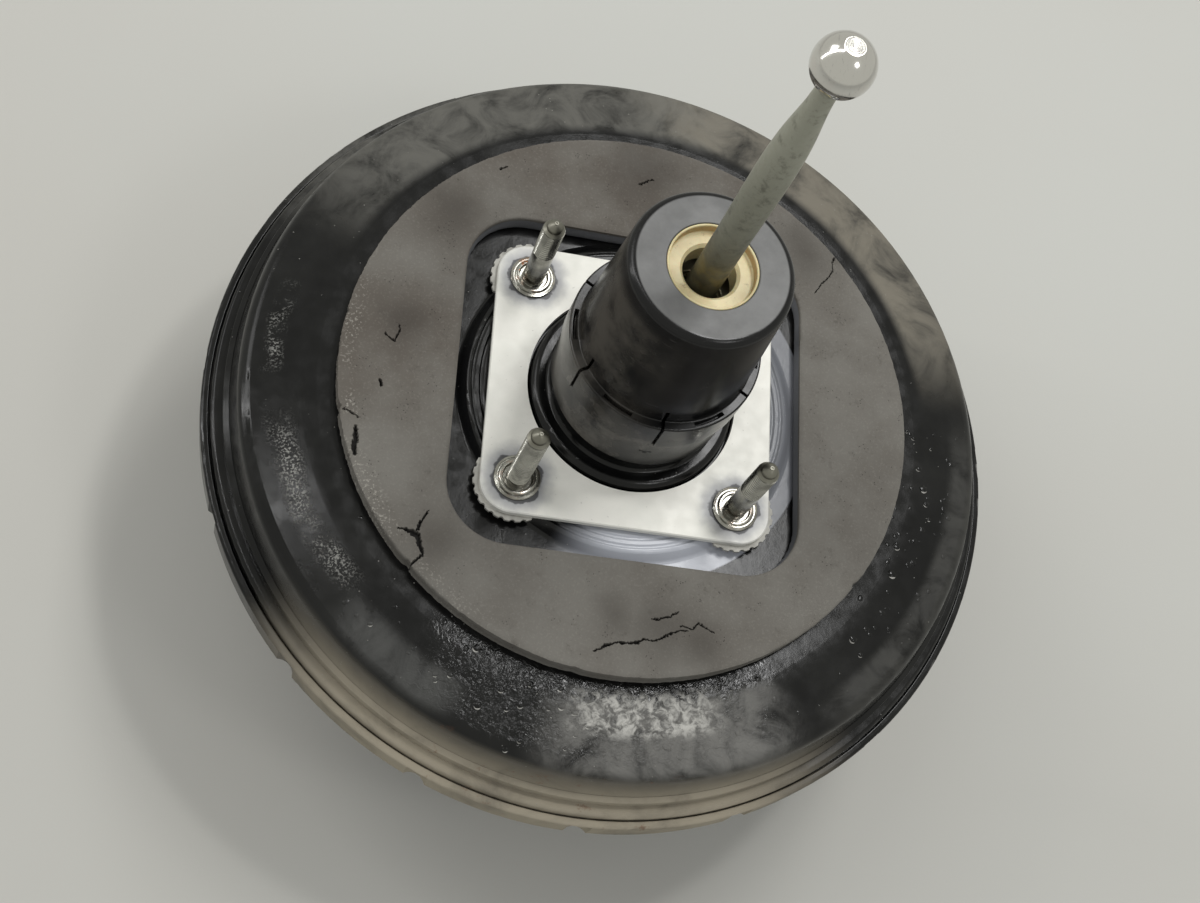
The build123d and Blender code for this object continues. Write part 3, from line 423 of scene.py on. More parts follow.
@dataclass(frozen=True)
class ShellPaint:
    """Old black chassis paint with dust, dried streaks and a little rust, a painted reflection on its raised
    centre and a painted highlight patch below the gasket.
    """

    name: str = "shell paint"
    black: Colour = tone(12, 12, 12)
    worn: Colour = tone(24, 24, 23)
    speck: Colour = tone(150, 148, 140)
    rust: Colour = tone(112, 74, 50)
    # painted reflection: pale blue-grey laid on the raised centre inside the gasket's window
    painted_reflection: Colour = tone(206, 209, 216)
    raised: Span = (40.0, 69.3)
    flange: Span = (137.0, 151.0)
    boiled: Span = (105.0, 133.0)
    stains: tuple[Stain, ...] = (
        Stain(52.0, 46.0, 116.0, 150.0, tone(140, 134, 120), 0.7, 45.0, 0.44, 0.2),
        Stain(112.0, 48.0, 114.0, 150.0, tone(124, 122, 114), 0.55, 60.0, 0.46, 0.2),
        Stain(207.0, 17.0, 121.0, 127.5, tone(176, 175, 168), 0.6, 90.0, 0.46, 0.1, True),
        Stain(176.0, 9.0, 125.0, 130.0, tone(170, 169, 162), 0.5, 120.0, 0.5, 0.1, True),
        Stain(235.0, 13.0, 122.0, 135.0, tone(104, 104, 100), 0.4, 45.0, 0.46, 0.2),
        Stain(280.0, 24.0, 112.0, 137.0, tone(150, 148, 142), 0.5, 70.0, 0.48, 0.2),
        # Painted highlight: this bright patch on the lower dome stands in for the ceiling lamp's reflection
        # there.
        Stain(276.0, 15.0, 109.0, 123.0, tone(206, 204, 196), 0.72, 300.0, 0.52, 0.12),
        Stain(335.0, 34.0, 127.0, 138.0, tone(82, 81, 76), 0.5, 60.0, 0.46, 0.2),
        Stain(262.0, 50.0, 138.5, 152.0, tone(172, 163, 144), 0.85, 30.0, 0.3, 0.25),
    )

    def soil(self, recipe: Recipe) -> Socket:
        """Lays the stains over the paint, one of them a painted highlight.

        Args:
            recipe: The paint so far.

        Returns:
            How thickly each spot is covered.
        """
        radius = recipe.radius()
        swerve = recipe.strayed(radius, 12.0, 30.0, 3.0)
        grains = recipe.ramp(recipe.noise(1300.0, 3.0, 0.6), 0.5, 0.6)
        cover: Value = 0.0
        for stain in self.stains:
            patch = recipe.product(
                recipe.facing(stain.azimuth, stain.spread * 0.45, stain.spread),
                recipe.band(swerve if stain.powder else radius, stain.inner, stain.outer, 2.5),
                recipe.ramp(recipe.noise(stain.grain, 7.0, 0.66, 0.6), stain.cut - stain.soft,
                            stain.cut + stain.soft),
                grains if stain.powder else 1.0,
                stain.strength,
            )
            recipe.paint(stain.colour, patch)
            cover = recipe.most(cover, patch)
        return cover

    def material(self) -> Material:
        """Builds the paint.

        Returns:
            The material.
        """
        recipe = Recipe(self.name, 0.2)
        recipe.set("Specular IOR Level", 0.3)
        recipe.ground(recipe.ramp(recipe.noise(28.0, 6.0, 0.62), 0.42, 0.7), self.black, self.worn)
        cover = self.soil(recipe)
        dots = recipe.ramp(recipe.cells(330.0), 0.1, 0.05)
        sparse = recipe.product(dots, recipe.ramp(recipe.noise(90.0, 2.0), 0.5, 0.62), 0.5)
        recipe.paint(self.speck, sparse)
        rusty = recipe.ramp(recipe.noise(130.0, 6.0, 0.7), 0.6, 0.7)
        low_rim = recipe.band(recipe.radius(), *self.flange, 2.0)
        recipe.paint(self.rust, recipe.facing(262.0, 12.0, 26.0), low_rim, rusty, 0.6)
        # Painted reflection: the raised centre is lightened, most towards 287 degrees and less towards 345,
        # in place of the lamps' reflection in the gasket window.
        reflection_share = recipe.most(recipe.product(recipe.facing(287.0, 16.0, 42.0), 0.8),
                            recipe.product(recipe.facing(345.0, 40.0, 100.0), 0.3))
        recipe.paint(self.painted_reflection, reflection_share, recipe.band(recipe.radius(), *self.raised, 0.4))
        gloss = recipe.ramp(recipe.noise(160.0, 4.0), 0.3, 0.7, 0.13, 0.24)
        recipe.set("Roughness", recipe.maths("MINIMUM", recipe.sum(gloss, recipe.product(cover, 0.9)), 0.9))
        below = recipe.facing(268.0, 14.0, 36.0)
        ring = recipe.band(recipe.radius(), *self.boiled, 3.0)
        recipe.bump(recipe.product(below, ring, recipe.noise(420.0, 3.0, 0.55, 1.0)), 0.6)
        recipe.bump(recipe.noise(180.0, 4.0, 0.6), 0.06)
        recipe.bump(recipe.noise(1500.0, 3.0, 0.6), 0.008)
        recipe.bump(sparse, 0.08)
        return recipe.done()


@dataclass(frozen=True)
class ZincPlate:
    """Bright bluish zinc with a dark ring of tint round every stud."""

    name: str = "zinc plate"
    colour: Colour = tone(237, 235, 225)
    shade: Colour = tone(226, 225, 215)
    tint: Colour = tone(96, 100, 116)
    gap: Colour = tone(44, 44, 48)
    spot: Colour = tone(150, 146, 136)
    pitch: float = 78.5
    ring: Span = (15.5, 8.5)
    collar: Span = (9.4, 8.7)

    def material(self) -> Material:
        """Builds the plating.

        Returns:
            The material.
        """
        recipe = Recipe(self.name, 0.4, 0.05)
        across, along = (recipe.less(recipe.size(part), self.pitch / 2) for part in (recipe.x, recipe.y))
        ragged = recipe.strayed(recipe.radius(across, along), 6.0, 160.0, 4.0)
        recipe.ground(recipe.ramp(recipe.noise(45.0, 6.0, 0.6), 0.35, 0.68), self.colour, self.shade)
        recipe.paint(self.tint, recipe.ramp(ragged, *self.ring), 0.62)
        recipe.paint(self.gap, recipe.ramp(ragged, *self.collar), 0.85)
        recipe.paint(self.spot, recipe.ramp(recipe.noise(520.0, 3.0, 0.7), 0.66, 0.74), 0.5)
        recipe.set("Roughness", recipe.ramp(recipe.noise(220.0, 5.0), 0.3, 0.7, 0.4, 0.5))
        recipe.bump(recipe.noise(700.0, 4.0, 0.6), 0.006)
        return recipe.done()


@dataclass(frozen=True)
class GasketFoam:
    """Aged grey-brown closed-cell foam with darker scuffs, painted shade in its pores and open cracks, and a
    painted reflection low on its window's inner wall.
    """

    name: str = "gasket foam"
    colour: Colour = tone(114, 111, 104)
    shade: Colour = tone(102, 98, 91)
    brown: Colour = tone(84, 77, 69)
    scuff: Colour = tone(62, 57, 51)
    dry: Colour = tone(160, 156, 146)
    # painted shade: near-black laid in the pores and cracks
    pit_shade: Colour = tone(22, 20, 18)
    # painted reflection: light grey on the lower inner wall of the window
    grey: Colour = tone(116, 117, 120)
    window: Span = (64.2, 63.8)
    lip: Span = (-1.6, -2.2)

    def material(self) -> Material:
        """Builds the foam.

        Returns:
            The material.
        """
        recipe = Recipe(self.name, 0.92)
        recipe.ground(recipe.ramp(recipe.noise(30.0, 7.0, 0.62), 0.36, 0.66), self.colour, self.shade)
        recipe.paint(self.brown,
                     recipe.most(recipe.facing(100.0, 20.0, 62.0), recipe.facing(176.0, 8.0, 24.0)),
                     recipe.ramp(recipe.noise(22.0, 5.0, 0.6), 0.3, 0.6), 0.75)
        recipe.paint(self.scuff, recipe.ramp(recipe.noise(150.0, 5.0, 0.7), 0.58, 0.74), 0.35)
        sponge = recipe.product(recipe.facing(200.0, 14.0, 50.0), recipe.ramp(recipe.radius(), 97.0, 101.0),
                                recipe.ramp(recipe.noise(60.0, 3.0), 0.4, 0.55), 0.6)
        recipe.paint(self.dry, recipe.ramp(recipe.noise(1100.0, 3.0, 0.7), 0.54, 0.64),
                     recipe.sum(sponge, 0.12))
        # Painted shade: the pores are darkened where shade falls in them.
        pores = recipe.product(recipe.ramp(recipe.cells(900.0), 0.24, 0.1),
                               recipe.ramp(recipe.noise(120.0, 3.0), 0.54, 0.66))
        recipe.paint(self.pit_shade, pores, 0.7)
        recipe.paint(self.scuff, recipe.attribute("scuff"), 0.6)
        # Painted shade: the sunken floors of the cracks are painted near-black.
        recipe.paint(self.pit_shade, recipe.attribute("crack"))
        across = recipe.most(recipe.size(recipe.x), recipe.size(recipe.y))
        # Painted reflection: the window's inner wall below its top edge is painted light grey, in place of
        # the bright reflection on the shell inside the window.
        recipe.paint(self.grey, recipe.ramp(across, *self.window),
                     recipe.ramp(recipe.z, *self.lip))
        recipe.bump(recipe.noise(1300.0, 4.0, 0.65), 0.1)
        recipe.bump(pores, 0.2, 0.8)
        recipe.bump(recipe.noise(240.0, 4.0, 0.6), 0.16)
        return recipe.done()


@dataclass(frozen=True)
class CapPlastic:
    """Moulded black plastic: satin grey on top, glossy at its rounded edge, scuffed at its side."""

    name: str = "black plastic"
    black: Colour = tone(12, 12, 13)
    satin: Colour = tone(114, 114, 112)
    scuff: Colour = tone(96, 94, 92)
    dust: Colour = tone(110, 105, 98)
    smear: Colour = tone(108, 103, 94)
    top: float = 96.1
    face: Span = (25.0, 24.2)
    skirt: Span = (46.0, 30.0)
    shoulder: Span = (92.0, 84.0)

    def material(self) -> Material:
        """Builds the plastic.

        Returns:
            The material.
        """
        recipe = Recipe(self.name, 0.3)
        recipe.set("Specular IOR Level", 0.35)
        face = recipe.product(recipe.ramp(recipe.z, self.top - 0.5, self.top - 0.06),
                              recipe.ramp(recipe.radius(), *self.face))
        dusty = recipe.product(face, recipe.ramp(recipe.noise(60.0, 6.0, 0.65), 0.25, 0.75, 0.6, 1.0))
        recipe.ground(dusty, self.black, self.satin)
        rings = recipe.stretched((1.0, 1.0, 9.0))
        recipe.paint(self.scuff, recipe.ramp(recipe.noise(150.0, 6.0, 0.7, 0.0, rings), 0.58, 0.72), 0.3)
        recipe.paint(self.dust, recipe.ramp(recipe.z, *self.skirt),
                     recipe.ramp(recipe.noise(120.0, 5.0, 0.6), 0.45, 0.65), 0.4)
        recipe.paint(self.smear, recipe.facing(205.0, 20.0, 62.0),
                     recipe.ramp(recipe.z, *self.shoulder),
                     recipe.ramp(recipe.noise(48.0, 5.0, 0.6), 0.35, 0.65), 0.42)
        gloss = recipe.ramp(recipe.noise(90.0, 4.0), 0.3, 0.7, 0.18, 0.28)
        recipe.set("Roughness", recipe.sum(gloss, recipe.product(face, 0.2)))
        recipe.bump(recipe.noise(900.0, 3.0, 0.6), 0.015)
        recipe.bump(recipe.noise(60.0, 2.0), 0.12)
        return recipe.done()


@dataclass(frozen=True)
class CreamPlastic:
    """Yellowed nylon, with an amber wall below its rim."""

    name: str = "cream plastic"
    cream: Colour = tone(226, 213, 168)
    shade: Colour = tone(212, 196, 148)
    amber: Colour = tone(170, 137, 90)
    grime: Colour = tone(120, 100, 66)
    wall: Span = (92.8, 95.5)

    def material(self) -> Material:
        """Builds the nylon.

        Returns:
            The material.
        """
        recipe = Recipe(self.name, 0.42)
        recipe.ground(recipe.ramp(recipe.noise(120.0, 5.0, 0.6), 0.35, 0.68), self.cream, self.shade)
        recipe.paint(self.amber, recipe.band(recipe.z, *self.wall, 0.2), 0.8)
        recipe.paint(self.grime, recipe.ramp(recipe.noise(340.0, 5.0, 0.7), 0.58, 0.72), 0.45)
        recipe.set("Subsurface Weight", 0.12)
        recipe.set("Subsurface Scale", 0.002)
        recipe.bump(recipe.noise(800.0, 3.0), 0.02)
        return recipe.done()


@dataclass(frozen=True)
class RodSteel:
    """Phosphated rod that turns from dark at its foot to grey above, with yellowish grease and a painted
    reflection of the guide ring at its foot, and to a polished ball.
    """

    name: str = "rod steel"
    low: Colour = tone(88, 86, 72)
    middle: Colour = tone(148, 148, 134)
    high: Colour = tone(164, 164, 150)
    dark: Colour = tone(74, 72, 62)
    pale: Colour = tone(160, 160, 146)
    # yellowish grease and a painted reflection of the cream guide ring
    grease_and_reflection: Colour = tone(128, 116, 72)
    chrome: Colour = tone(216, 214, 209)
    scratch: Colour = tone(140, 140, 138)
    foot: Span = (90.0, 103.0)
    lighter: Span = (90.0, 135.0)
    lightest: Span = (130.0, 170.0)
    ball: Span = (193.6, 194.4)
    flat: Span = (210.9, 211.0)

    def material(self) -> Material:
        """Builds the steel.

        Returns:
            The material.
        """
        recipe = Recipe(self.name, 0.45, 0.6)
        recipe.ground(recipe.ramp(recipe.z, *self.lighter), self.low, self.middle)
        recipe.paint(self.high, recipe.ramp(recipe.z, *self.lightest))
        recipe.paint(self.dark, recipe.ramp(recipe.noise(260.0, 6.0, 0.7), 0.5, 0.7), 0.5)
        recipe.paint(self.pale, recipe.ramp(recipe.noise(90.0, 5.0, 0.6), 0.5, 0.7), 0.35)
        # Partly yellowish grease and partly a painted reflection of the cream guide ring, low on the rod.
        recipe.paint(self.grease_and_reflection, recipe.band(recipe.z, *self.foot, 4.0),
                     recipe.ramp(recipe.noise(180.0, 4.0), 0.42, 0.6), 0.55)
        ball = recipe.ramp(recipe.z, *self.ball)
        rod = recipe.less(1.0, ball)
        recipe.paint(self.chrome, ball)
        hairs = recipe.noise(150.0, 4.0, 0.6, 1.2, recipe.stretched((14.0, 2.0, 3.0)))
        scratch = recipe.product(ball, recipe.ramp(hairs, 0.6, 0.68))
        recipe.paint(self.scratch, scratch, 0.5)
        recipe.set("Metallic", recipe.ramp(recipe.z, *self.ball, 0.55, 1.0))
        dull = recipe.ramp(recipe.noise(420.0, 4.0), 0.3, 0.7, 0.42, 0.6)
        polish = recipe.sum(recipe.product(scratch, 0.16), 0.14)
        recipe.set("Roughness", recipe.sum(recipe.product(dull, rod), recipe.product(polish, ball)))
        recipe.bump(recipe.product(recipe.noise(900.0, 4.0, 0.65), rod), 0.04)
        rings = recipe.maths("SINE", recipe.product(recipe.radius(), 9.0))
        recipe.bump(recipe.product(recipe.ramp(recipe.z, *self.flat), rings), 0.05)
        return recipe.done()


@dataclass(frozen=True)
class StudZinc:
    """Bright zinc on studs, with a dull tip and a little rust by the collar."""

    name: str = "zinc stud"
    colour: Colour = tone(168, 167, 160)
    shade: Colour = tone(132, 131, 125)
    dull: Colour = tone(126, 124, 114)
    rust: Colour = tone(168, 96, 44)
    tip: Span = (34.5, 36.4)
    collar: Span = (1.0, 3.4)
    rusty_side: Span = (36.0, 42.0)

    def material(self) -> Material:
        """Builds the plating.

        Returns:
            The material.
        """
        recipe = Recipe(self.name, 0.2, 1.0)
        recipe.ground(recipe.ramp(recipe.noise(140.0, 5.0, 0.65), 0.38, 0.66), self.colour, self.shade)
        tip = recipe.product(recipe.ramp(recipe.z, *self.tip), 0.85)
        recipe.paint(self.dull, tip)
        left = recipe.product(recipe.x, -1.0)
        side = recipe.product(recipe.ramp(left, *self.rusty_side), recipe.ramp(recipe.y, *self.rusty_side))
        recipe.paint(self.rust, recipe.band(recipe.z, *self.collar, 0.8),
                     recipe.ramp(recipe.noise(420.0, 5.0, 0.7), 0.5, 0.62),
                     recipe.sum(recipe.product(side, 0.7), 0.2))
        gloss = recipe.ramp(recipe.noise(300.0, 4.0), 0.3, 0.7, 0.14, 0.26)
        recipe.set("Roughness", recipe.sum(gloss, recipe.product(tip, 0.25)))
        recipe.bump(recipe.noise(1400.0, 3.0, 0.6), 0.012)
        return recipe.done()


def link(name: str, data: bpy.types.ID) -> Object:
    """Puts data into the scene as an object at the origin."""
    made = bpy.data.objects.new(name, data)
    bpy.context.scene.collection.objects.link(made)
    return made


def merge(part: BMesh, whole: BMesh) -> None:
    """Moves everything in one mesh into another, and frees the first.

    Args:
        part: The mesh that is used up.
        whole: The mesh that takes it in.
    """
    mesh = bpy.data.meshes.new("part")
    part.to_mesh(mesh)
    part.free()
    whole.from_mesh(mesh)
    bpy.data.meshes.remove(mesh)


class Shape:
    """A mesh that is made with bmesh operators and becomes one named piece."""

    def __init__(self) -> None:
        """Starts with nothing in it."""
        self.bm = bmesh.new()

    def turn(self, profile: Profile, centre: Spot, steps: int) -> None:
        """Spins a closed profile of (radius, height) once round an upright axis.

        Args:
            profile: The corners in millimetres, from the axis round to the axis.
            centre: The axis in x and y, in metres.
            steps: The number of steps round.
        """
        verts = [self.bm.verts.new((centre[0] + r * MM, centre[1], z * MM)) for r, z in profile]
        edges = [self.bm.edges.new(pair) for pair in zip(verts, verts[1:])]
        bmesh.ops.spin(self.bm, geom=verts + edges, cent=(*centre, 0.0), axis=UP, dvec=(0, 0, 0),
                       angle=2 * pi, steps=steps, use_merge=True)

    def thread(self, centre: Spot, low: float, high: float, crest: float, root: float, pitch: float,
               steps: int = 30) -> None:
        """Cuts a screw thread as a helix of one tooth, flat at both ends.

        Args:
            centre: The stud's axis in x and y.
            low: The thread's lower end, in metres like all its sizes.
            high: Its upper end.
            crest: The outer radius.
            root: The inner radius.
            pitch: The rise of one turn.
            steps: The number of steps per turn.
        """
        part = bmesh.new()
        tooth = ((root, 0.0), (root, 0.1), (crest, 0.42), (crest, 0.58), (root, 0.9), (root, 1.0))
        turns = ceil((high - low) / pitch) + 2
        verts = [part.verts.new((centre[0] + r, centre[1], low + (z - 1) * pitch)) for r, z in tooth]
        edges = [part.edges.new(pair) for pair in zip(verts, verts[1:])]
        bmesh.ops.spin(part, geom=verts + edges, cent=(*centre, 0.0), axis=UP, dvec=(0, 0, pitch / steps),
                       angle=2 * pi * turns, steps=steps * turns, use_merge=False)
        bmesh.ops.remove_doubles(part, verts=part.verts[:], dist=MERGE)
        for height, normal in ((low, -UP), (high, UP)):
            bmesh.ops.bisect_plane(part, geom=part.verts[:] + part.edges[:] + part.faces[:], dist=1e-7,
                                   plane_co=(0, 0, height), plane_no=normal, clear_outer=True)
        bmesh.ops.holes_fill(part, edges=[edge for edge in part.edges if edge.is_boundary], sides=0)
        bmesh.ops.recalc_face_normals(part, faces=part.faces[:])
        merge(part, self.bm)

    def copy(self, node: str) -> None:
        """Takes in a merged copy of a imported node's mesh."""
        self.bm.from_mesh(frame["nodes"][node].data)
        bmesh.ops.remove_doubles(self.bm, verts=self.bm.verts[:], dist=MERGE)

    def tidy(self) -> None:
        """Merges seams and poles, and turns the faces outwards."""
        bmesh.ops.remove_doubles(self.bm, verts=self.bm.verts[:], dist=MERGE)
        bmesh.ops.recalc_face_normals(self.bm, faces=self.bm.faces[:])

    def piece(self, name: str, material: Material, body: Body | None = None,
              sharp: float = 35.0) -> Object:
        """Writes the mesh into an object that rides on a body.

        Args:
            name: The piece's name.
            material: Its finish.
            body: What it rides on, or None where it rides on nothing.
            sharp: The angle in degrees from which an edge stays sharp.

        Returns:
            The new object.
        """
        for face in self.bm.faces:
            face.smooth = True
        mesh = bpy.data.meshes.new(name)
        self.bm.to_mesh(mesh)
        self.bm.free()
        mesh.set_sharp_from_angle(angle=radians(sharp))
        mesh.materials.append(material)
        made = link(name, mesh)
        if body:
            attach(made, body.value)
        log.info("%s: %d faces", name, len(mesh.polygons))
        return made


def dress(material: Material, *nodes: str) -> None:
    """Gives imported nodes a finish.

    Args:
        material: The finish.
        nodes: The nodes that get it.
    """
    for name in nodes:
        node = frame["nodes"][name]
        if not node.material_slots:
            node.data.materials.append(material)
        for place in node.material_slots:
            place.material = material
        log.info("%s: dressed in %s", name, material.name)


def surface_of(node: str) -> BVHTree:
    """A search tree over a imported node, for setting small pieces on its surface.

    Args:
        node: The node's name.

    Returns:
        The tree, in the frame's own coordinates.
    """
    copied = bmesh.new()
    copied.from_mesh(frame["nodes"][node].data)
    tree = BVHTree.FromBMesh(copied)
    copied.free()
    return tree


@dataclass(frozen=True)
class Lamp:
    """A soft panel: its middle, the direction in which it shines, its two sides and its power in watts."""

    name: str
    place: Triple
    towards: Triple
    size: Span
    power: float

    def hang(self) -> None:
        """Puts the lamp into the scene."""
        light = bpy.data.lights.new(self.name, "AREA")
        light.shape = "RECTANGLE"
        light.size, light.size_y = self.size
        light.energy = self.power
        made = link(self.name, light)
        made.location = self.place
        made.rotation_euler = (-Vector(self.towards)).to_track_quat("Z", "Y").to_euler()


@dataclass
class Studio:
    """Pale floor, soft light and the camera at the photograph's angle."""

    eye: Vector = field(default_factory=lambda: Vector((-0.1306, -0.2575, 0.5303)))
    look: Vector = field(default_factory=lambda: Vector((0.2029, 0.3934, -0.8967)))
    head: Vector = field(default_factory=lambda: Vector((-0.1431, 0.9178, 0.3703)))
    lens: float = 50.64
    floor_height: float = -0.134
    floor_reach: float = 3.0
    floor_fade: Span = (900.0, 2600.0)
    floor_colour: Colour = tone(198, 198, 191)
    floor_shade: Colour = tone(196, 194, 186)
    sky: float = 0.48
    sky_colour: Colour = (0.97, 0.985, 1.0)
    lamps: tuple[Lamp, ...] = (
        Lamp("ceiling panel", (0.34, 0.58, 1.25), (0.0, 0.0, -1.0), (0.30, 0.62), 6.0),
        Lamp("small panel", (0.335, 0.21, 1.25), (0.0, 0.0, -1.0), (0.12, 0.10), 2.6),
        Lamp("side panel", (-1.1, 0.35, 0.95), (0.756, 0.0, -0.655), (0.06, 2.2), 5.0),
        Lamp("window panel", (-0.95, 0.60, 1.0), (0.95, -0.60, -1.0), (0.5, 0.5), 1.8),
        Lamp("front panel", (0.55, -0.50, 1.15), (-0.55, 0.50, -1.15), (0.22, 0.22), 1.2),
    )

    def build(self) -> None:
        """Makes the camera, the floor, the lamps and the world."""
        self.camera()
        self.floor()
        for lamp in self.lamps:
            lamp.hang()
        self.world()
        bpy.context.scene.view_settings.view_transform = "Standard"

    def camera(self) -> None:
        """Sets the camera where the photograph was taken from."""
        lens = bpy.data.cameras.new("camera")
        lens.lens = self.lens
        lens.sensor_width = 36.0
        lens.sensor_fit = "HORIZONTAL"
        lens.clip_start = 0.01
        made = link("camera", lens)
        back = -self.look.normalized()
        side = self.head.cross(back).normalized()
        turned = Matrix((side, back.cross(side), back)).transposed().to_4x4()
        made.matrix_world = Matrix.Translation(self.eye) @ turned
        bpy.context.scene.camera = made

    def floor(self) -> None:
        """Lays the pale floor under the front studs, fading far out into the background."""
        shape = Shape()
        bmesh.ops.create_grid(shape.bm, x_segments=8, y_segments=8, size=self.floor_reach,
                              matrix=Matrix.Translation((0, 0, self.floor_height)))
        recipe = Recipe("floor", 0.8)
        recipe.ground(recipe.ramp(recipe.noise(2.2, 4.0), 0.3, 0.7), self.floor_colour, self.floor_shade)
        recipe.bump(recipe.noise(900.0, 3.0), 0.03)
        recipe.set("Alpha", recipe.ramp(recipe.radius(), *self.floor_fade, 1.0, 0.0))
        shape.piece("floor", recipe.done())

    def world(self) -> None:
        """Lights all round evenly, and shows the pale background to camera, gloss and glass."""
        world = bpy.data.worlds.new("studio")
        world.use_nodes = True
        tree = world.node_tree
        glow = tree.nodes["Background"]
        glow.inputs["Color"].default_value = (*self.sky_colour, 1.0)
        glow.inputs["Strength"].default_value = self.sky
        seen = tree.nodes.new("ShaderNodeBackground")
        seen.inputs["Color"].default_value = (*self.floor_colour, 1.0)
        seen.inputs["Strength"].default_value = 1.0
        path = tree.nodes.new("ShaderNodeLightPath")
        share: Socket = path.outputs["Is Camera Ray"]
        for ray in ("Is Glossy Ray", "Is Transmission Ray"):
            add = tree.nodes.new("ShaderNodeMath")
            add.operation = "MAXIMUM"
            tree.links.new(share, add.inputs[0])
            tree.links.new(path.outputs[ray], add.inputs[1])
            share = add.outputs[0]
        blend = tree.nodes.new("ShaderNodeMixShader")
        tree.links.new(share, blend.inputs[0])
        tree.links.new(glow.outputs[0], blend.inputs[1])
        tree.links.new(seen.outputs[0], blend.inputs[2])
        tree.links.new(blend.outputs[0], tree.nodes["World Output"].inputs["Surface"])
        bpy.context.scene.world = world


@dataclass
class FoamGasket:
    """The foam that seals the booster to the bulkhead, ragged at its rim and cracked in places.

    A crack is a line of x, y and width, a nick is an azimuth, depth and width, and a scuff is an x, y and
    radius, all in millimetres and degrees. Waves, tears and dimples are a depth in millimetres and a grain.
    """

    radius: float = 104.5 * MM
    half_window: float = 63.4 * MM
    corner: float = 22.0 * MM
    bottom: float = -7.0 * MM
    steps: int = 720
    rows: int = 44
    edge: float = 0.9 * MM
    wobbles: tuple[tuple[float, Triple, float], ...] = (
        (260.0, (7.0, 3.0, 0.0), 0.9), (1300.0, (2.0, 9.0, 0.0), 0.5),
    )
    crack_reach: float = 40.0
    crack_depth: float = 2.0
    crack_edge: float = 0.2
    fine_band: float = 2.0
    deepest: float = 2.6
    rim_waves: tuple[Span, ...] = ((0.12, 60.0), (0.15, 22.0))
    rim_tears: Span = (0.7, 110.0)
    rim_most: float = 0.25
    rim_reach: float = 3.0 * MM
    base_drop: float = 0.2
    edge_drop: float = 0.4
    waves: tuple[Span, ...] = ((0.16, 38.0), (0.06, 130.0))
    dimples: Span = (0.05, 420.0)
    scuff_edge: Span = (4.0, 90.0)
    cracks: tuple[Marks, ...] = (
        ((-8.3, -97.0, 0.4), (-5.3, -94.6, 0.7), (-0.5, -93.1, 0.5), (6.6, -92.3, 0.5), (8.7, -90.9, 0.3),
         (12.3, -90.4, 0.35), (15.4, -88.9, 0.5), (18.0, -87.4, 0.3), (23.8, -85.8, 0.2)),
        ((11.5, -83.3, 0.25), (14.2, -82.3, 0.4), (16.9, -82.2, 0.4), (20.0, -79.5, 0.25)),
        ((21.1, -84.8, 0.3), (25.1, -84.8, 0.4), (27.5, -83.4, 0.3), (32.9, -85.1, 0.2)),
        ((77.1, 70.0, 0.25), (75.1, 61.7, 0.3), (69.0, 53.0, 0.25)),
        ((-89.7, 7.8, 0.3), (-86.0, 5.7, 0.5), (-84.9, 11.8, 0.3)),
        ((-89.6, -10.4, 0.7), (-88.6, -12.4, 0.5)),
        ((-54.6, 81.7, 0.4), (-52.0, 84.0, 0.3)),
        ((-1.1, 86.2, 0.5), (3.5, 89.4, 0.4)),
        ((-77.6, -62.9, 0.5), (-73.8, -63.4, 1.4), (-71.2, -64.9, 2.2), (-69.9, -68.2, 1.6),
         (-69.3, -71.2, 0.8), (-70.9, -73.4, 0.7), (-72.4, -75.4, 0.9)),
        ((-71.2, -62.5, 1.2), (-70.8, -59.9, 0.7), (-68.4, -55.6, 0.3)),
        ((-95.6, -28.7, 0.9), (-95.8, -31.8, 1.3), (-95.7, -34.9, 1.8), (-94.9, -38.5, 1.4)),
        ((-101.0, -22.4, 0.3), (-98.8, -23.8, 0.5), (-95.7, -25.2, 0.3)),
    )
    nicks: Marks = (
        (-134.6, 0.9, 1.4), (-168.0, 0.7, 1.0), (172.0, 0.8, 1.0), (-36.0, 0.9, 1.2), (-98.0, 0.4, 2.0),
    )
    scuffs: Marks = (
        (14.0, -86.0, 12.0), (28.0, -90.0, 9.0), (-2.0, -84.0, 8.0), (-84.0, 14.0, 9.0), (-70.0, 62.0, 12.0),
        (0.0, 92.0, 16.0), (64.0, 70.0, 11.0), (-66.0, -66.0, 12.0),
    )

    def window_point(self, way: Vector) -> Vector:
        """The point of the rounded square window in one direction from the middle.

        Args:
            way: The direction, with any length.

        Returns:
            The point at the foam's top.
        """
        unit = Vector((way.x, way.y, 0.0)).normalized()
        reach = self.half_window / max(abs(unit.x), abs(unit.y))
        flat = self.half_window - self.corner
        if min(abs(unit.x), abs(unit.y)) * reach > flat:
            along = (abs(unit.x) + abs(unit.y)) * flat
            reach = along + sqrt(along * along - 2 * flat * flat + self.corner * self.corner)
        return unit * reach

    def inside_crack(self, spot: Vector, line: Marks) -> float:
        """How far a point lies inside a crack's edge, in millimetres, and less than nothing outside.

        Args:
            spot: The point in x and y.
            line: The crack.

        Returns:
            The depth inside the edge, below zero outside it.
        """
        best = -1e9
        for start, end in zip(line, line[1:]):
            first = Vector(start[:2])
            run = Vector(end[:2]) - first
            share = min(max((spot - first).dot(run) / run.length_squared, 0.0), 1.0)
            width = start[2] + (end[2] - start[2]) * share
            best = max(best, width / 2 - (spot - first - run * share).length)
        return best

    def lines_near(self, spot: Vector) -> list[Marks]:
        """The cracks that start near enough to reach a point."""
        return [line for line in self.cracks if (spot - Vector(line[0][:2])).length < self.crack_reach]

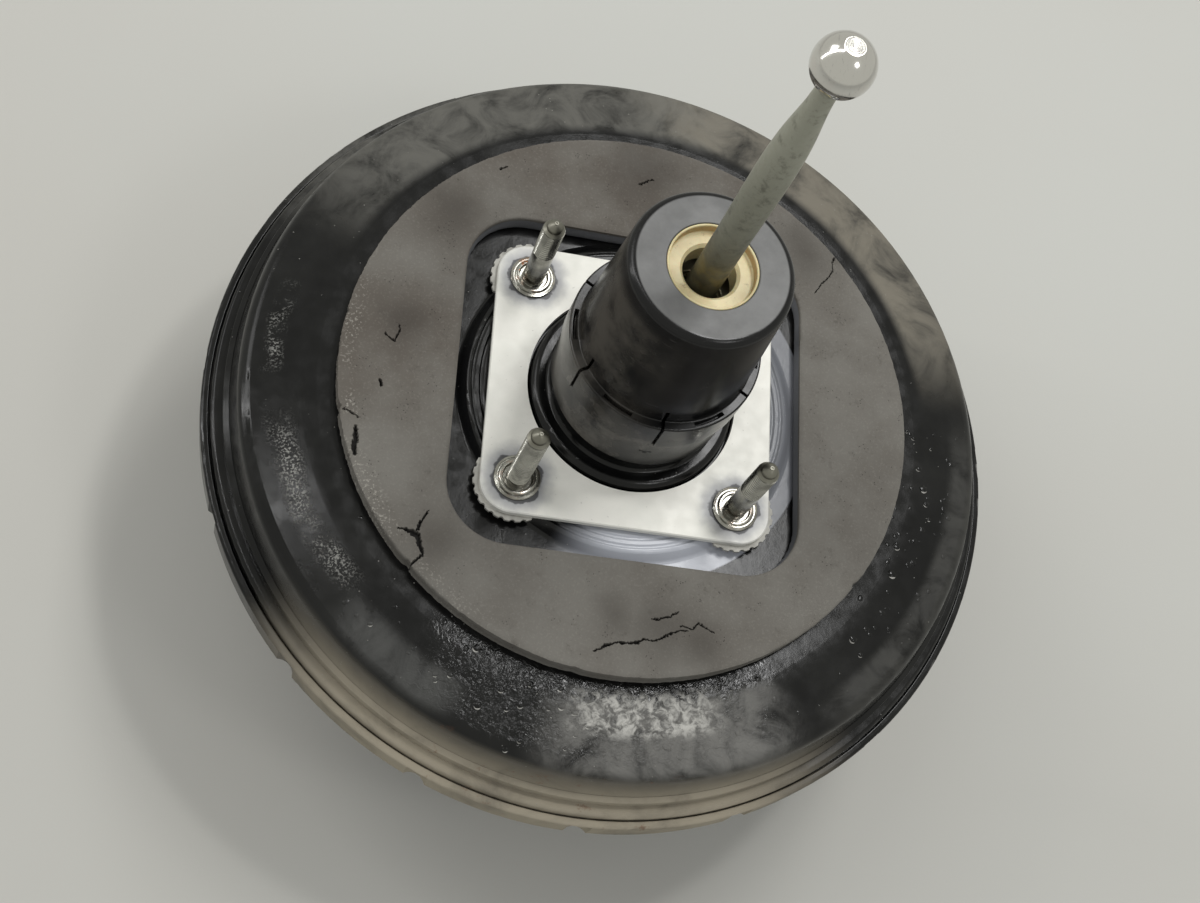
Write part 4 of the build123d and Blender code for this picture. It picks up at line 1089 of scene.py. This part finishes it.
    def refine(self, bm: BMesh) -> None:
        """Makes the sheet finer where a crack runs.

        Args:
            bm: The flat sheet.
        """
        near = []
        for edge in bm.edges:
            middle = (edge.verts[0].co + edge.verts[1].co) / 2
            spot = Vector((middle.x / MM, middle.y / MM))
            if any(self.inside_crack(spot, line) > -self.fine_band for line in self.lines_near(spot)):
                near.append(edge)
        bmesh.ops.subdivide_edges(bm, edges=near, cuts=3, use_grid_fill=True)

    def fray(self, unit: Vector) -> float:
        """How far the rim stands out in one direction: ragged all round, with tears on the left, and nicked.

        Args:
            unit: The direction from the middle.

        Returns:
            The distance in millimetres, below zero where foam is missing.
        """
        reach = sum(depth * noise.noise(unit * grain) for depth, grain in self.rim_waves)
        depth, grain = self.rim_tears
        reach += depth * abs(noise.noise(unit * grain)) * max(0.0, -unit.x) ** 1.5
        turn = atan2(unit.y, unit.x)
        for azimuth, depth, width in self.nicks:
            away = abs((turn - radians(azimuth) + pi) % (2 * pi) - pi) * self.radius / MM
            reach -= depth * exp(-(away / width) ** 2)
        return min(reach, self.rim_most)

    def sag(self, flat: Vector) -> float:
        """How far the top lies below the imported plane: rounded at both edges, and gently wavy.

        Args:
            flat: The point on the plane.

        Returns:
            The distance in millimetres.
        """
        drop = self.base_drop + sum(depth * noise.noise(flat * grain) for depth, grain in self.waves)
        depth, grain = self.dimples
        drop += depth * abs(noise.noise(flat * grain))
        for away in (self.radius - flat.length, flat.length - self.window_point(flat).length):
            drop += self.edge_drop * max(0.0, 1 - away / self.edge) ** 2
        return drop

    def weather(self, bm: BMesh) -> None:
        """Ages the flat sheet: ragged rim with tears, rounded edges, waves, cracks and scuffs.

        Args:
            bm: The flat sheet.
        """
        crack = bm.verts.layers.float.new("crack")
        scuff = bm.verts.layers.float.new("scuff")
        for vert in bm.verts:
            flat = vert.co.copy()
            unit = flat / flat.length
            near_rim = exp(-((self.radius - flat.length) / self.rim_reach) ** 2)
            vert.co += unit * (self.fray(unit) * MM * near_rim)
            drop = self.sag(flat)
            spot = Vector((flat.x / MM, flat.y / MM))
            wobble = Vector((0.0, 0.0))
            for grain, apart, reach in self.wobbles:
                place = flat * grain
                wobble += Vector((noise.noise(place), noise.noise(place + Vector(apart)))) * reach
            for line in self.lines_near(spot):
                share = self.inside_crack(spot + wobble, line) / self.crack_edge + 0.5
                share = min(max(share, 0.0), 1.0)
                drop += self.crack_depth * share
                vert[crack] = max(vert[crack], share)
            for across, along, width in self.scuffs:
                depth, grain = self.scuff_edge
                near = (spot - Vector((across, along))).length + depth * noise.noise(flat * grain)
                vert[scuff] = max(vert[scuff], exp(-(near / width) ** 2))
            vert.co.z -= min(drop, self.deepest) * MM

    def build(self) -> None:
        """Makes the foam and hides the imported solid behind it."""
        shape = Shape()
        bm = shape.bm
        bmesh.ops.create_circle(bm, segments=self.steps, radius=self.radius)
        inner = bmesh.ops.create_circle(bm, segments=self.steps, radius=self.radius / 2)["verts"]
        for vert in inner:
            vert.co = self.window_point(vert.co)
        bmesh.ops.bridge_loops(bm, edges=bm.edges[:])
        across = [edge for edge in bm.edges if not edge.is_boundary]
        bmesh.ops.subdivide_edges(bm, edges=across, cuts=self.rows)
        self.refine(bm)
        self.weather(bm)
        rim = [edge for edge in bm.edges if edge.is_boundary]
        sides = bmesh.ops.extrude_edge_only(bm, edges=rim)["geom"]
        for vert in (item for item in sides if isinstance(item, bmesh.types.BMVert)):
            vert.co.z = self.bottom
        bmesh.ops.bridge_loops(bm, edges=[edge for edge in bm.edges if edge.is_boundary])
        upright = [edge for edge in bm.edges if abs(edge.verts[0].co.z - edge.verts[1].co.z) > 4 * MM]
        bmesh.ops.subdivide_edges(bm, edges=upright, cuts=3)
        for vert in bm.verts:
            if self.bottom + 0.2 * MM < vert.co.z < -3 * MM:
                unit = Vector((vert.co.x, vert.co.y, 0.0)).normalized()
                low = vert.co.z < -5 * MM
                vert.co -= unit * (abs(noise.noise(vert.co * 500)) * 0.4 + (0.5 if low else 0.0)) * MM
        shape.tidy()
        made = shape.piece("foam_gasket", GasketFoam().material(), Body.HOUSING, 60.0)
        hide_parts("bulkhead_gasket")


@dataclass
class StudSide:
    """The stud plate with its four studs and their sealing washers, in millimetres.

    A thread start is a stud's name, its two signs in x and y, and the height at which its thread begins.
    """

    pitch: float = 78.5
    shank: float = 3.95
    crest: float = 4.0
    root: float = 3.45
    thread_pitch: float = 1.25
    thread_top: float = 35.6
    tip_top: float = 40.0
    collar: float = 8.3
    head: float = 7.0
    head_thick: float = 2.6
    neck: float = 4.4
    inside: float = -8.6
    washer: Finish = Finish("washer grey", tone(176, 174, 166), tone(140, 138, 131), 0.6, 0.1, 0.1, 500.0,
                            0.05, 90.0)
    thread_starts: tuple[tuple[str, int, int, float], ...] = (
        ("stud_upper_left", -1, 1, 20.0), ("stud_lower_left", -1, -1, 3.4),
        ("stud_lower_right", 1, -1, 19.0), ("stud_upper_right", 1, 1, 20.0),
    )

    def stud(self, name: str, centre: Spot, start: float,
             finish: Material) -> Object:
        """Makes one stud: inner head, ringed collar, shank, thread and dog tip.

        Args:
            name: The piece's name.
            centre: Its axis in x and y, in metres.
            start: The height at which the thread begins.
            finish: Its plating.

        Returns:
            The piece.
        """
        shape = Shape()
        head_low = self.inside - self.head_thick
        body = [
            (0.0, head_low), (self.head - 1.0, head_low), (self.head - 0.3, head_low + 0.3),
            (self.head, head_low + 1.0), (self.head, self.inside), (self.neck, self.inside),
            (self.neck, 0.02), (self.collar, 0.02), (self.collar, 0.6), (self.collar - 0.2, 0.85), (7.4, 1.0),
            (7.25, 0.82),
            (6.85, 0.82), (6.7, 1.15), (6.35, 1.44), (6.1, 1.5), (5.5, 1.5), (5.3, 1.35), (5.25, 0.6),
            (5.0, 0.42), (self.shank + 0.15, 0.42), (self.shank, 0.55), (self.shank, start),
            (self.root, start + 0.4), (0.0, start + 0.4),
        ]
        shape.turn(body, centre, 48)
        shape.thread(centre, start * MM, self.thread_top * MM, self.crest * MM, self.root * MM,
                     self.thread_pitch * MM)
        tip = [
            (0.0, self.thread_top - 0.3), (self.crest - 0.12, self.thread_top - 0.3),
            (self.crest - 0.1, self.thread_top + 0.25), (3.1, 36.4), (2.85, 36.6), (2.95, 36.9), (2.9, 37.9),
            (2.6, 38.4), (1.0, 39.55), (0.75, 39.65), (0.7, self.tip_top), (0.4, self.tip_top), (0.25, 39.7),
            (0.0, 39.7),
        ]
        shape.turn(tip, centre, 40)
        shape.tidy()
        return shape.piece(name, finish, Body.HOUSING)

    def build(self) -> None:
        """Makes the studs, and dresses the plate and the washers."""
        finish = StudZinc().material()
        half = self.pitch / 2 * MM
        studs = [self.stud(name, (across * half, along * half), start, finish)
                 for name, across, along, start in self.thread_starts]
        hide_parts("rear_studs")
        dress(ZincPlate().material(), "stud_plate")
        dress(self.washer.material(), "stud_washers")


@dataclass
class Shells:
    """The two pressed shells, with the blisters of the old paint and pale crescents painted as highlights on
    them.

    A mark is the radius, azimuth and size of a larger blister. The small ones lie in a field, at angles
    drawn by their mean and spread, below the gasket and to the right of it.
    """

    seed: int = 11
    blisters: int = 170
    top: float = 20.0 * MM
    light_side: float = 261.0
    arc: float = 62.0
    field: Span = (106.5, 130.0)
    below: Span = (262.0, 18.0)
    right: Span = (338.0, 14.0)
    # painted highlight: the pale crescents on the larger blisters' lit edges
    glint: Finish = Finish("pale flake", tone(184, 182, 174), tone(132, 130, 124), 0.5, 0.1, 0.0, 700.0,
                           0.02, 300.0)
    zinc: Finish = Finish("inner zinc", tone(170, 170, 164), tone(140, 140, 134), 0.4, 0.08, 0.8)
    marks: Marks = (
        (125.9, 249.1, 1.2), (118.0, 251.3, 1.0), (120.1, 255.1, 1.1), (117.9, 259.6, 1.0),
        (110.8, 260.8, 0.9), (131.2, 256.8, 0.8), (124.6, 264.7, 0.7), (112.5, 255.5, 0.9),
        (114.4, 256.8, 0.7), (123.1, 253.3, 0.8), (116.4, 261.6, 1.1), (135.3, 255.3, 0.9),
        (120.7, 266.5, 1.0), (124.4, 241.2, 0.8), (109.5, 244.5, 1.2), (126.0, 241.7, 0.7),
        (121.8, 243.2, 0.9), (125.7, 228.7, 0.9), (112.0, 263.3, 0.8), (117.3, 263.9, 1.0),
        (120.2, 260.5, 0.7), (129.5, 263.6, 0.7), (108.4, 2.5, 0.6), (111.1, 1.2, 0.8),
        (113.3, 355.1, 1.0), (116.0, 351.3, 1.3), (120.4, 346.0, 0.7), (118.1, 348.6, 1.0),
        (111.7, 337.9, 1.1), (114.3, 332.6, 1.4), (117.2, 317.6, 1.2), (122.9, 316.8, 0.8),
        (118.3, 359.7, 0.7), (108.5, 290.2, 0.8), (110.6, 292.2, 0.6),
    )

    def set_down(self, tree: BVHTree, radius: float, azimuth: float) -> Matrix:
        """The frame of a spot on the shell, with Z away from the surface.

        Args:
            tree: The shell's surface.
            radius: The distance from the axis.
            azimuth: The direction in degrees.

        Returns:
            The spot's matrix.
        """
        start = Vector((radius * cos(radians(azimuth)), radius * sin(radians(azimuth)), self.top))
        place, normal, _, _ = tree.ray_cast(start, -UP)
        return Matrix.Translation(place) @ UP.rotation_difference(normal).to_matrix().to_4x4()

    def blister(self, bm: BMesh, place: Matrix, width: float, height: float, shift: float) -> None:
        """Raises one uneven blister.

        Args:
            bm: The mesh it joins.
            place: Its frame.
            width: Its half width.
            height: Its height.
            shift: What makes its outline its own.
        """
        verts = bmesh.ops.create_icosphere(bm, subdivisions=2, radius=1.0)["verts"]
        for vert in verts:
            lump = 1 + 0.4 * noise.noise(vert.co * 1.3 + Vector((shift, 0, 0)))
            vert.co = Vector((vert.co.x * width * lump, vert.co.y * width * lump * 0.8, vert.co.z * height))
        bmesh.ops.transform(bm, matrix=place, verts=verts)

    def crescent(self, bm: BMesh, place: Matrix, reach: float, turn: float) -> None:
        """Lays one thin curved strip of painted highlight, drawn out to a point at both ends.

        Args:
            bm: The mesh it joins.
            place: The frame of its middle.
            reach: The radius of its curve.
            turn: The direction of its middle in degrees.
        """
        part = bmesh.new()
        width = reach * 0.3
        corners = [part.verts.new((reach + across, 0.0, rise)) for across, rise in
                   ((-width, -0.05 * MM), (0.0, 0.14 * MM), (width, -0.05 * MM))]
        edges = [part.edges.new((corners[at - 1], corners[at])) for at in range(3)]
        bmesh.ops.rotate(part, verts=corners, matrix=Matrix.Rotation(radians(turn - self.arc), 3, "Z"))
        bmesh.ops.spin(part, geom=corners + edges, cent=(0, 0, 0), axis=UP, dvec=(0, 0, 0),
                       angle=radians(2 * self.arc), steps=8, use_merge=False)
        for vert in part.verts:
            way = Vector((vert.co.x, vert.co.y, 0.0))
            off = (atan2(way.y, way.x) - radians(turn) + pi) % (2 * pi) - pi
            share = max(0.05, cos(off / radians(self.arc) * pi / 2))
            vert.co = way.normalized() * (reach + (way.length - reach) * share) + UP * vert.co.z * share
        bmesh.ops.transform(part, matrix=place, verts=part.verts[:])
        merge(part, bm)

    def blister_field(self, tree: BVHTree, paint: Material) -> None:
        """Raises small blisters in the paint, mostly below the gasket, and the larger ones that get a painted
        highlight on their edge.

        Args:
            tree: The shell's surface.
            paint: The shell's finish.
        """
        draw = Random(self.seed)
        shape = Shape()
        for _ in range(self.blisters):
            azimuth = draw.choice((draw.gauss(*self.below), draw.gauss(*self.below), draw.gauss(*self.right)))
            radius = draw.uniform(*self.field) * MM
            width = draw.uniform(0.4, 1.3) * MM
            place = self.set_down(tree, radius, azimuth) @ Matrix.Rotation(draw.uniform(0, pi), 4, "Z")
            self.blister(shape.bm, place, width, width * 0.22, azimuth)
        for radius, azimuth, size in self.marks:
            place = self.set_down(tree, radius * MM, azimuth)
            self.blister(shape.bm, place, size * 1.25 * MM, size * 0.4 * MM, azimuth)
        shape.piece("paint_blisters", paint, Body.HOUSING)

    def glint_field(self, tree: BVHTree) -> None:
        """Lays pale crescents on the lower edges of the larger blisters as painted highlights.

        Args:
            tree: The shell's surface.
        """
        draw = Random(self.seed + 1)
        shape = Shape()
        for radius, azimuth, size in self.marks:
            place = self.set_down(tree, radius * MM, azimuth)
            # Painted highlight: each pale crescent stands in for a lamp's glint on the blister's lower edge.
            self.crescent(shape.bm, place, size * 1.1 * MM, self.light_side + draw.uniform(-30, 30))
        shape.tidy()
        shape.piece("painted_glints", self.glint.material(), Body.HOUSING)

    def build(self) -> None:
        """Dresses the shells, and adds the blisters of age and the painted highlight crescents."""
        paint = ShellPaint().material()
        dress(paint, "rear_shell", "front_shell")
        tree = surface_of("rear_shell")
        self.blister_field(tree, paint)
        self.glint_field(tree)
        dress(self.zinc.material(), "front_plate", "front_studs")


@dataclass
class NeckAndRod:
    """The capped neck, its guide ring and the pedal rod.

    The collar's slot is two dark bars, each with its x, z, width and height in millimetres.
    """

    slot_front: float = -32.1
    slot_deep: float = 0.5
    slot: tuple[tuple[float, float, float, float], ...] = ((-0.2, 22.6, 4.2, 0.5), (-0.2, 21.9, 1.3, 1.1))

    def build(self) -> None:
        """Dresses the cap, the collar, the ring and the rod."""
        plastic = CapPlastic().material()
        dress(plastic, "boot_cap", "neck_collar")
        dress(CreamPlastic().material(), "rod_guide_ring")
        dress(RodSteel().material(), "pedal_rod")
        shape = Shape()
        for across, height, width, tall in self.slot:
            size = Matrix.Diagonal((width, self.slot_deep, tall, 1.0))
            middle = Matrix.Translation((across, self.slot_front, height))
            bmesh.ops.create_cube(shape.bm, size=1.0, matrix=Matrix.Scale(MM, 4) @ middle @ size)
        slot = Finish("slot shade", tone(12, 12, 12), tone(18, 18, 18), 0.6)
        shape.piece("collar_slot", slot.material(), Body.HOUSING)


@dataclass
class Inside:
    """The diaphragm group, the control valve and the springs inside the shells."""

    stroke: float = 36.0 * MM
    input: float = 1.5 * MM
    lift: float = 1.6 * MM
    barrel: float = 2.2 * MM
    slack: float = 0.3 * MM
    roll_start: float = -30.3 * MM
    roll_end: float = -24.5 * MM
    wire: Finish = Finish("spring wire", tone(120, 118, 112), tone(84, 82, 78), 0.35, 0.08, 0.85, 1200.0,
                          0.01)
    rubber: Finish = Finish("black rubber", tone(36, 36, 36), tone(52, 52, 51), 0.65, 0.1, 0.0, 700.0, 0.04)
    finishes: tuple[tuple[Finish, tuple[str, ...]], ...] = (
        (Finish("pressed steel", tone(178, 170, 140), tone(150, 144, 120), 0.38, 0.08, 0.75, 800.0, 0.015),
         ("diaphragm_plate", "stop_key", "output_clip", "poppet_retainer", "rod_spring_seat",
          "filter_retainer")),
        (Finish("machined steel", tone(168, 168, 164), tone(136, 136, 132), 0.3, 0.08, 0.9, 1600.0, 0.01),
         ("output_rod", "valve_plunger")),
        (Finish("hub plastic", tone(44, 42, 40), tone(64, 61, 57), 0.42, 0.08, 0.0, 900.0, 0.03),
         ("piston_hub",)),
        (Finish("white nylon", tone(206, 202, 188), tone(188, 183, 166), 0.4, 0.08, 0.0, 900.0, 0.02),
         ("neck_bush", "ball_liner")),
        (Finish("filter foam", tone(150, 140, 104), tone(118, 110, 82), 0.95, 0.04, 0.0, 1500.0, 0.3, 300.0),
         ("air_filter",)),
        (Finish("valve plastic", tone(30, 30, 30), tone(46, 46, 45), 0.38, 0.08, 0.0, 900.0, 0.03),
         ("check_valve_body", "check_disc")),
    )

    def spring(self, node: str, axis: Vector,
               finish: Material, body: Body, barrel: float = 0.0, slack: float = 0.0) -> None:
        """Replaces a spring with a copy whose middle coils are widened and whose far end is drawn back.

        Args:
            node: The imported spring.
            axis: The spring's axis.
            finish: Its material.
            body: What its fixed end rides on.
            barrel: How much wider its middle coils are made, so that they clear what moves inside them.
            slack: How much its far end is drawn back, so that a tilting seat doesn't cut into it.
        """
        shape = Shape()
        shape.copy(node)
        reach = [vert.co.dot(axis) for vert in shape.bm.verts]
        low, high = min(reach), max(reach)
        for vert in shape.bm.verts:
            share = (vert.co.dot(axis) - low) / (high - low)
            out = vert.co - axis * vert.co.dot(axis)
            vert.co += out.normalized() * barrel * sin(pi * share) - axis * slack * share
        made = shape.piece(node + "_coil", finish, body, 60.0)
        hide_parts(node)
        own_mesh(made)

    def build(self) -> None:
        """Makes the moving soft pieces and dresses the rest."""
        wire = self.wire.material()
        lift_axis = next(joint["axis"] for joint in frame["record"]["behaviour"]["joints"]
                         if joint["name"] == "check_lift")
        outwards = Vector(lift_axis).normalized()
        self.spring("return_spring", UP, wire, Body.HOUSING, self.barrel)
        self.spring("rod_return_spring", UP, wire, Body.PISTON,
                    slack=self.slack)
        self.spring("check_spring", outwards, wire, Body.HOUSING)
        rubber = self.rubber.material()
        shape = Shape()
        shape.copy("diaphragm")
        made = shape.piece("rolling_diaphragm", rubber, None, 45.0)
        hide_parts("diaphragm")
        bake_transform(made)
        dress(rubber, "neck_seal", "poppet_seal", "reaction_disc", "valve_grommet")
        for finish, nodes in self.finishes:
            dress(finish.material(), *nodes)
        dress(wire, "poppet_spring")


def main() -> None:
    """Builds the stage and every sub-assembly in order."""
    logging.basicConfig(level=logging.INFO, format="%(name)s %(message)s")
    Studio().build()
    Shells().build()
    FoamGasket().build()
    StudSide().build()
    NeckAndRod().build()
    Inside().build()


if __name__ == "__main__":
    main()
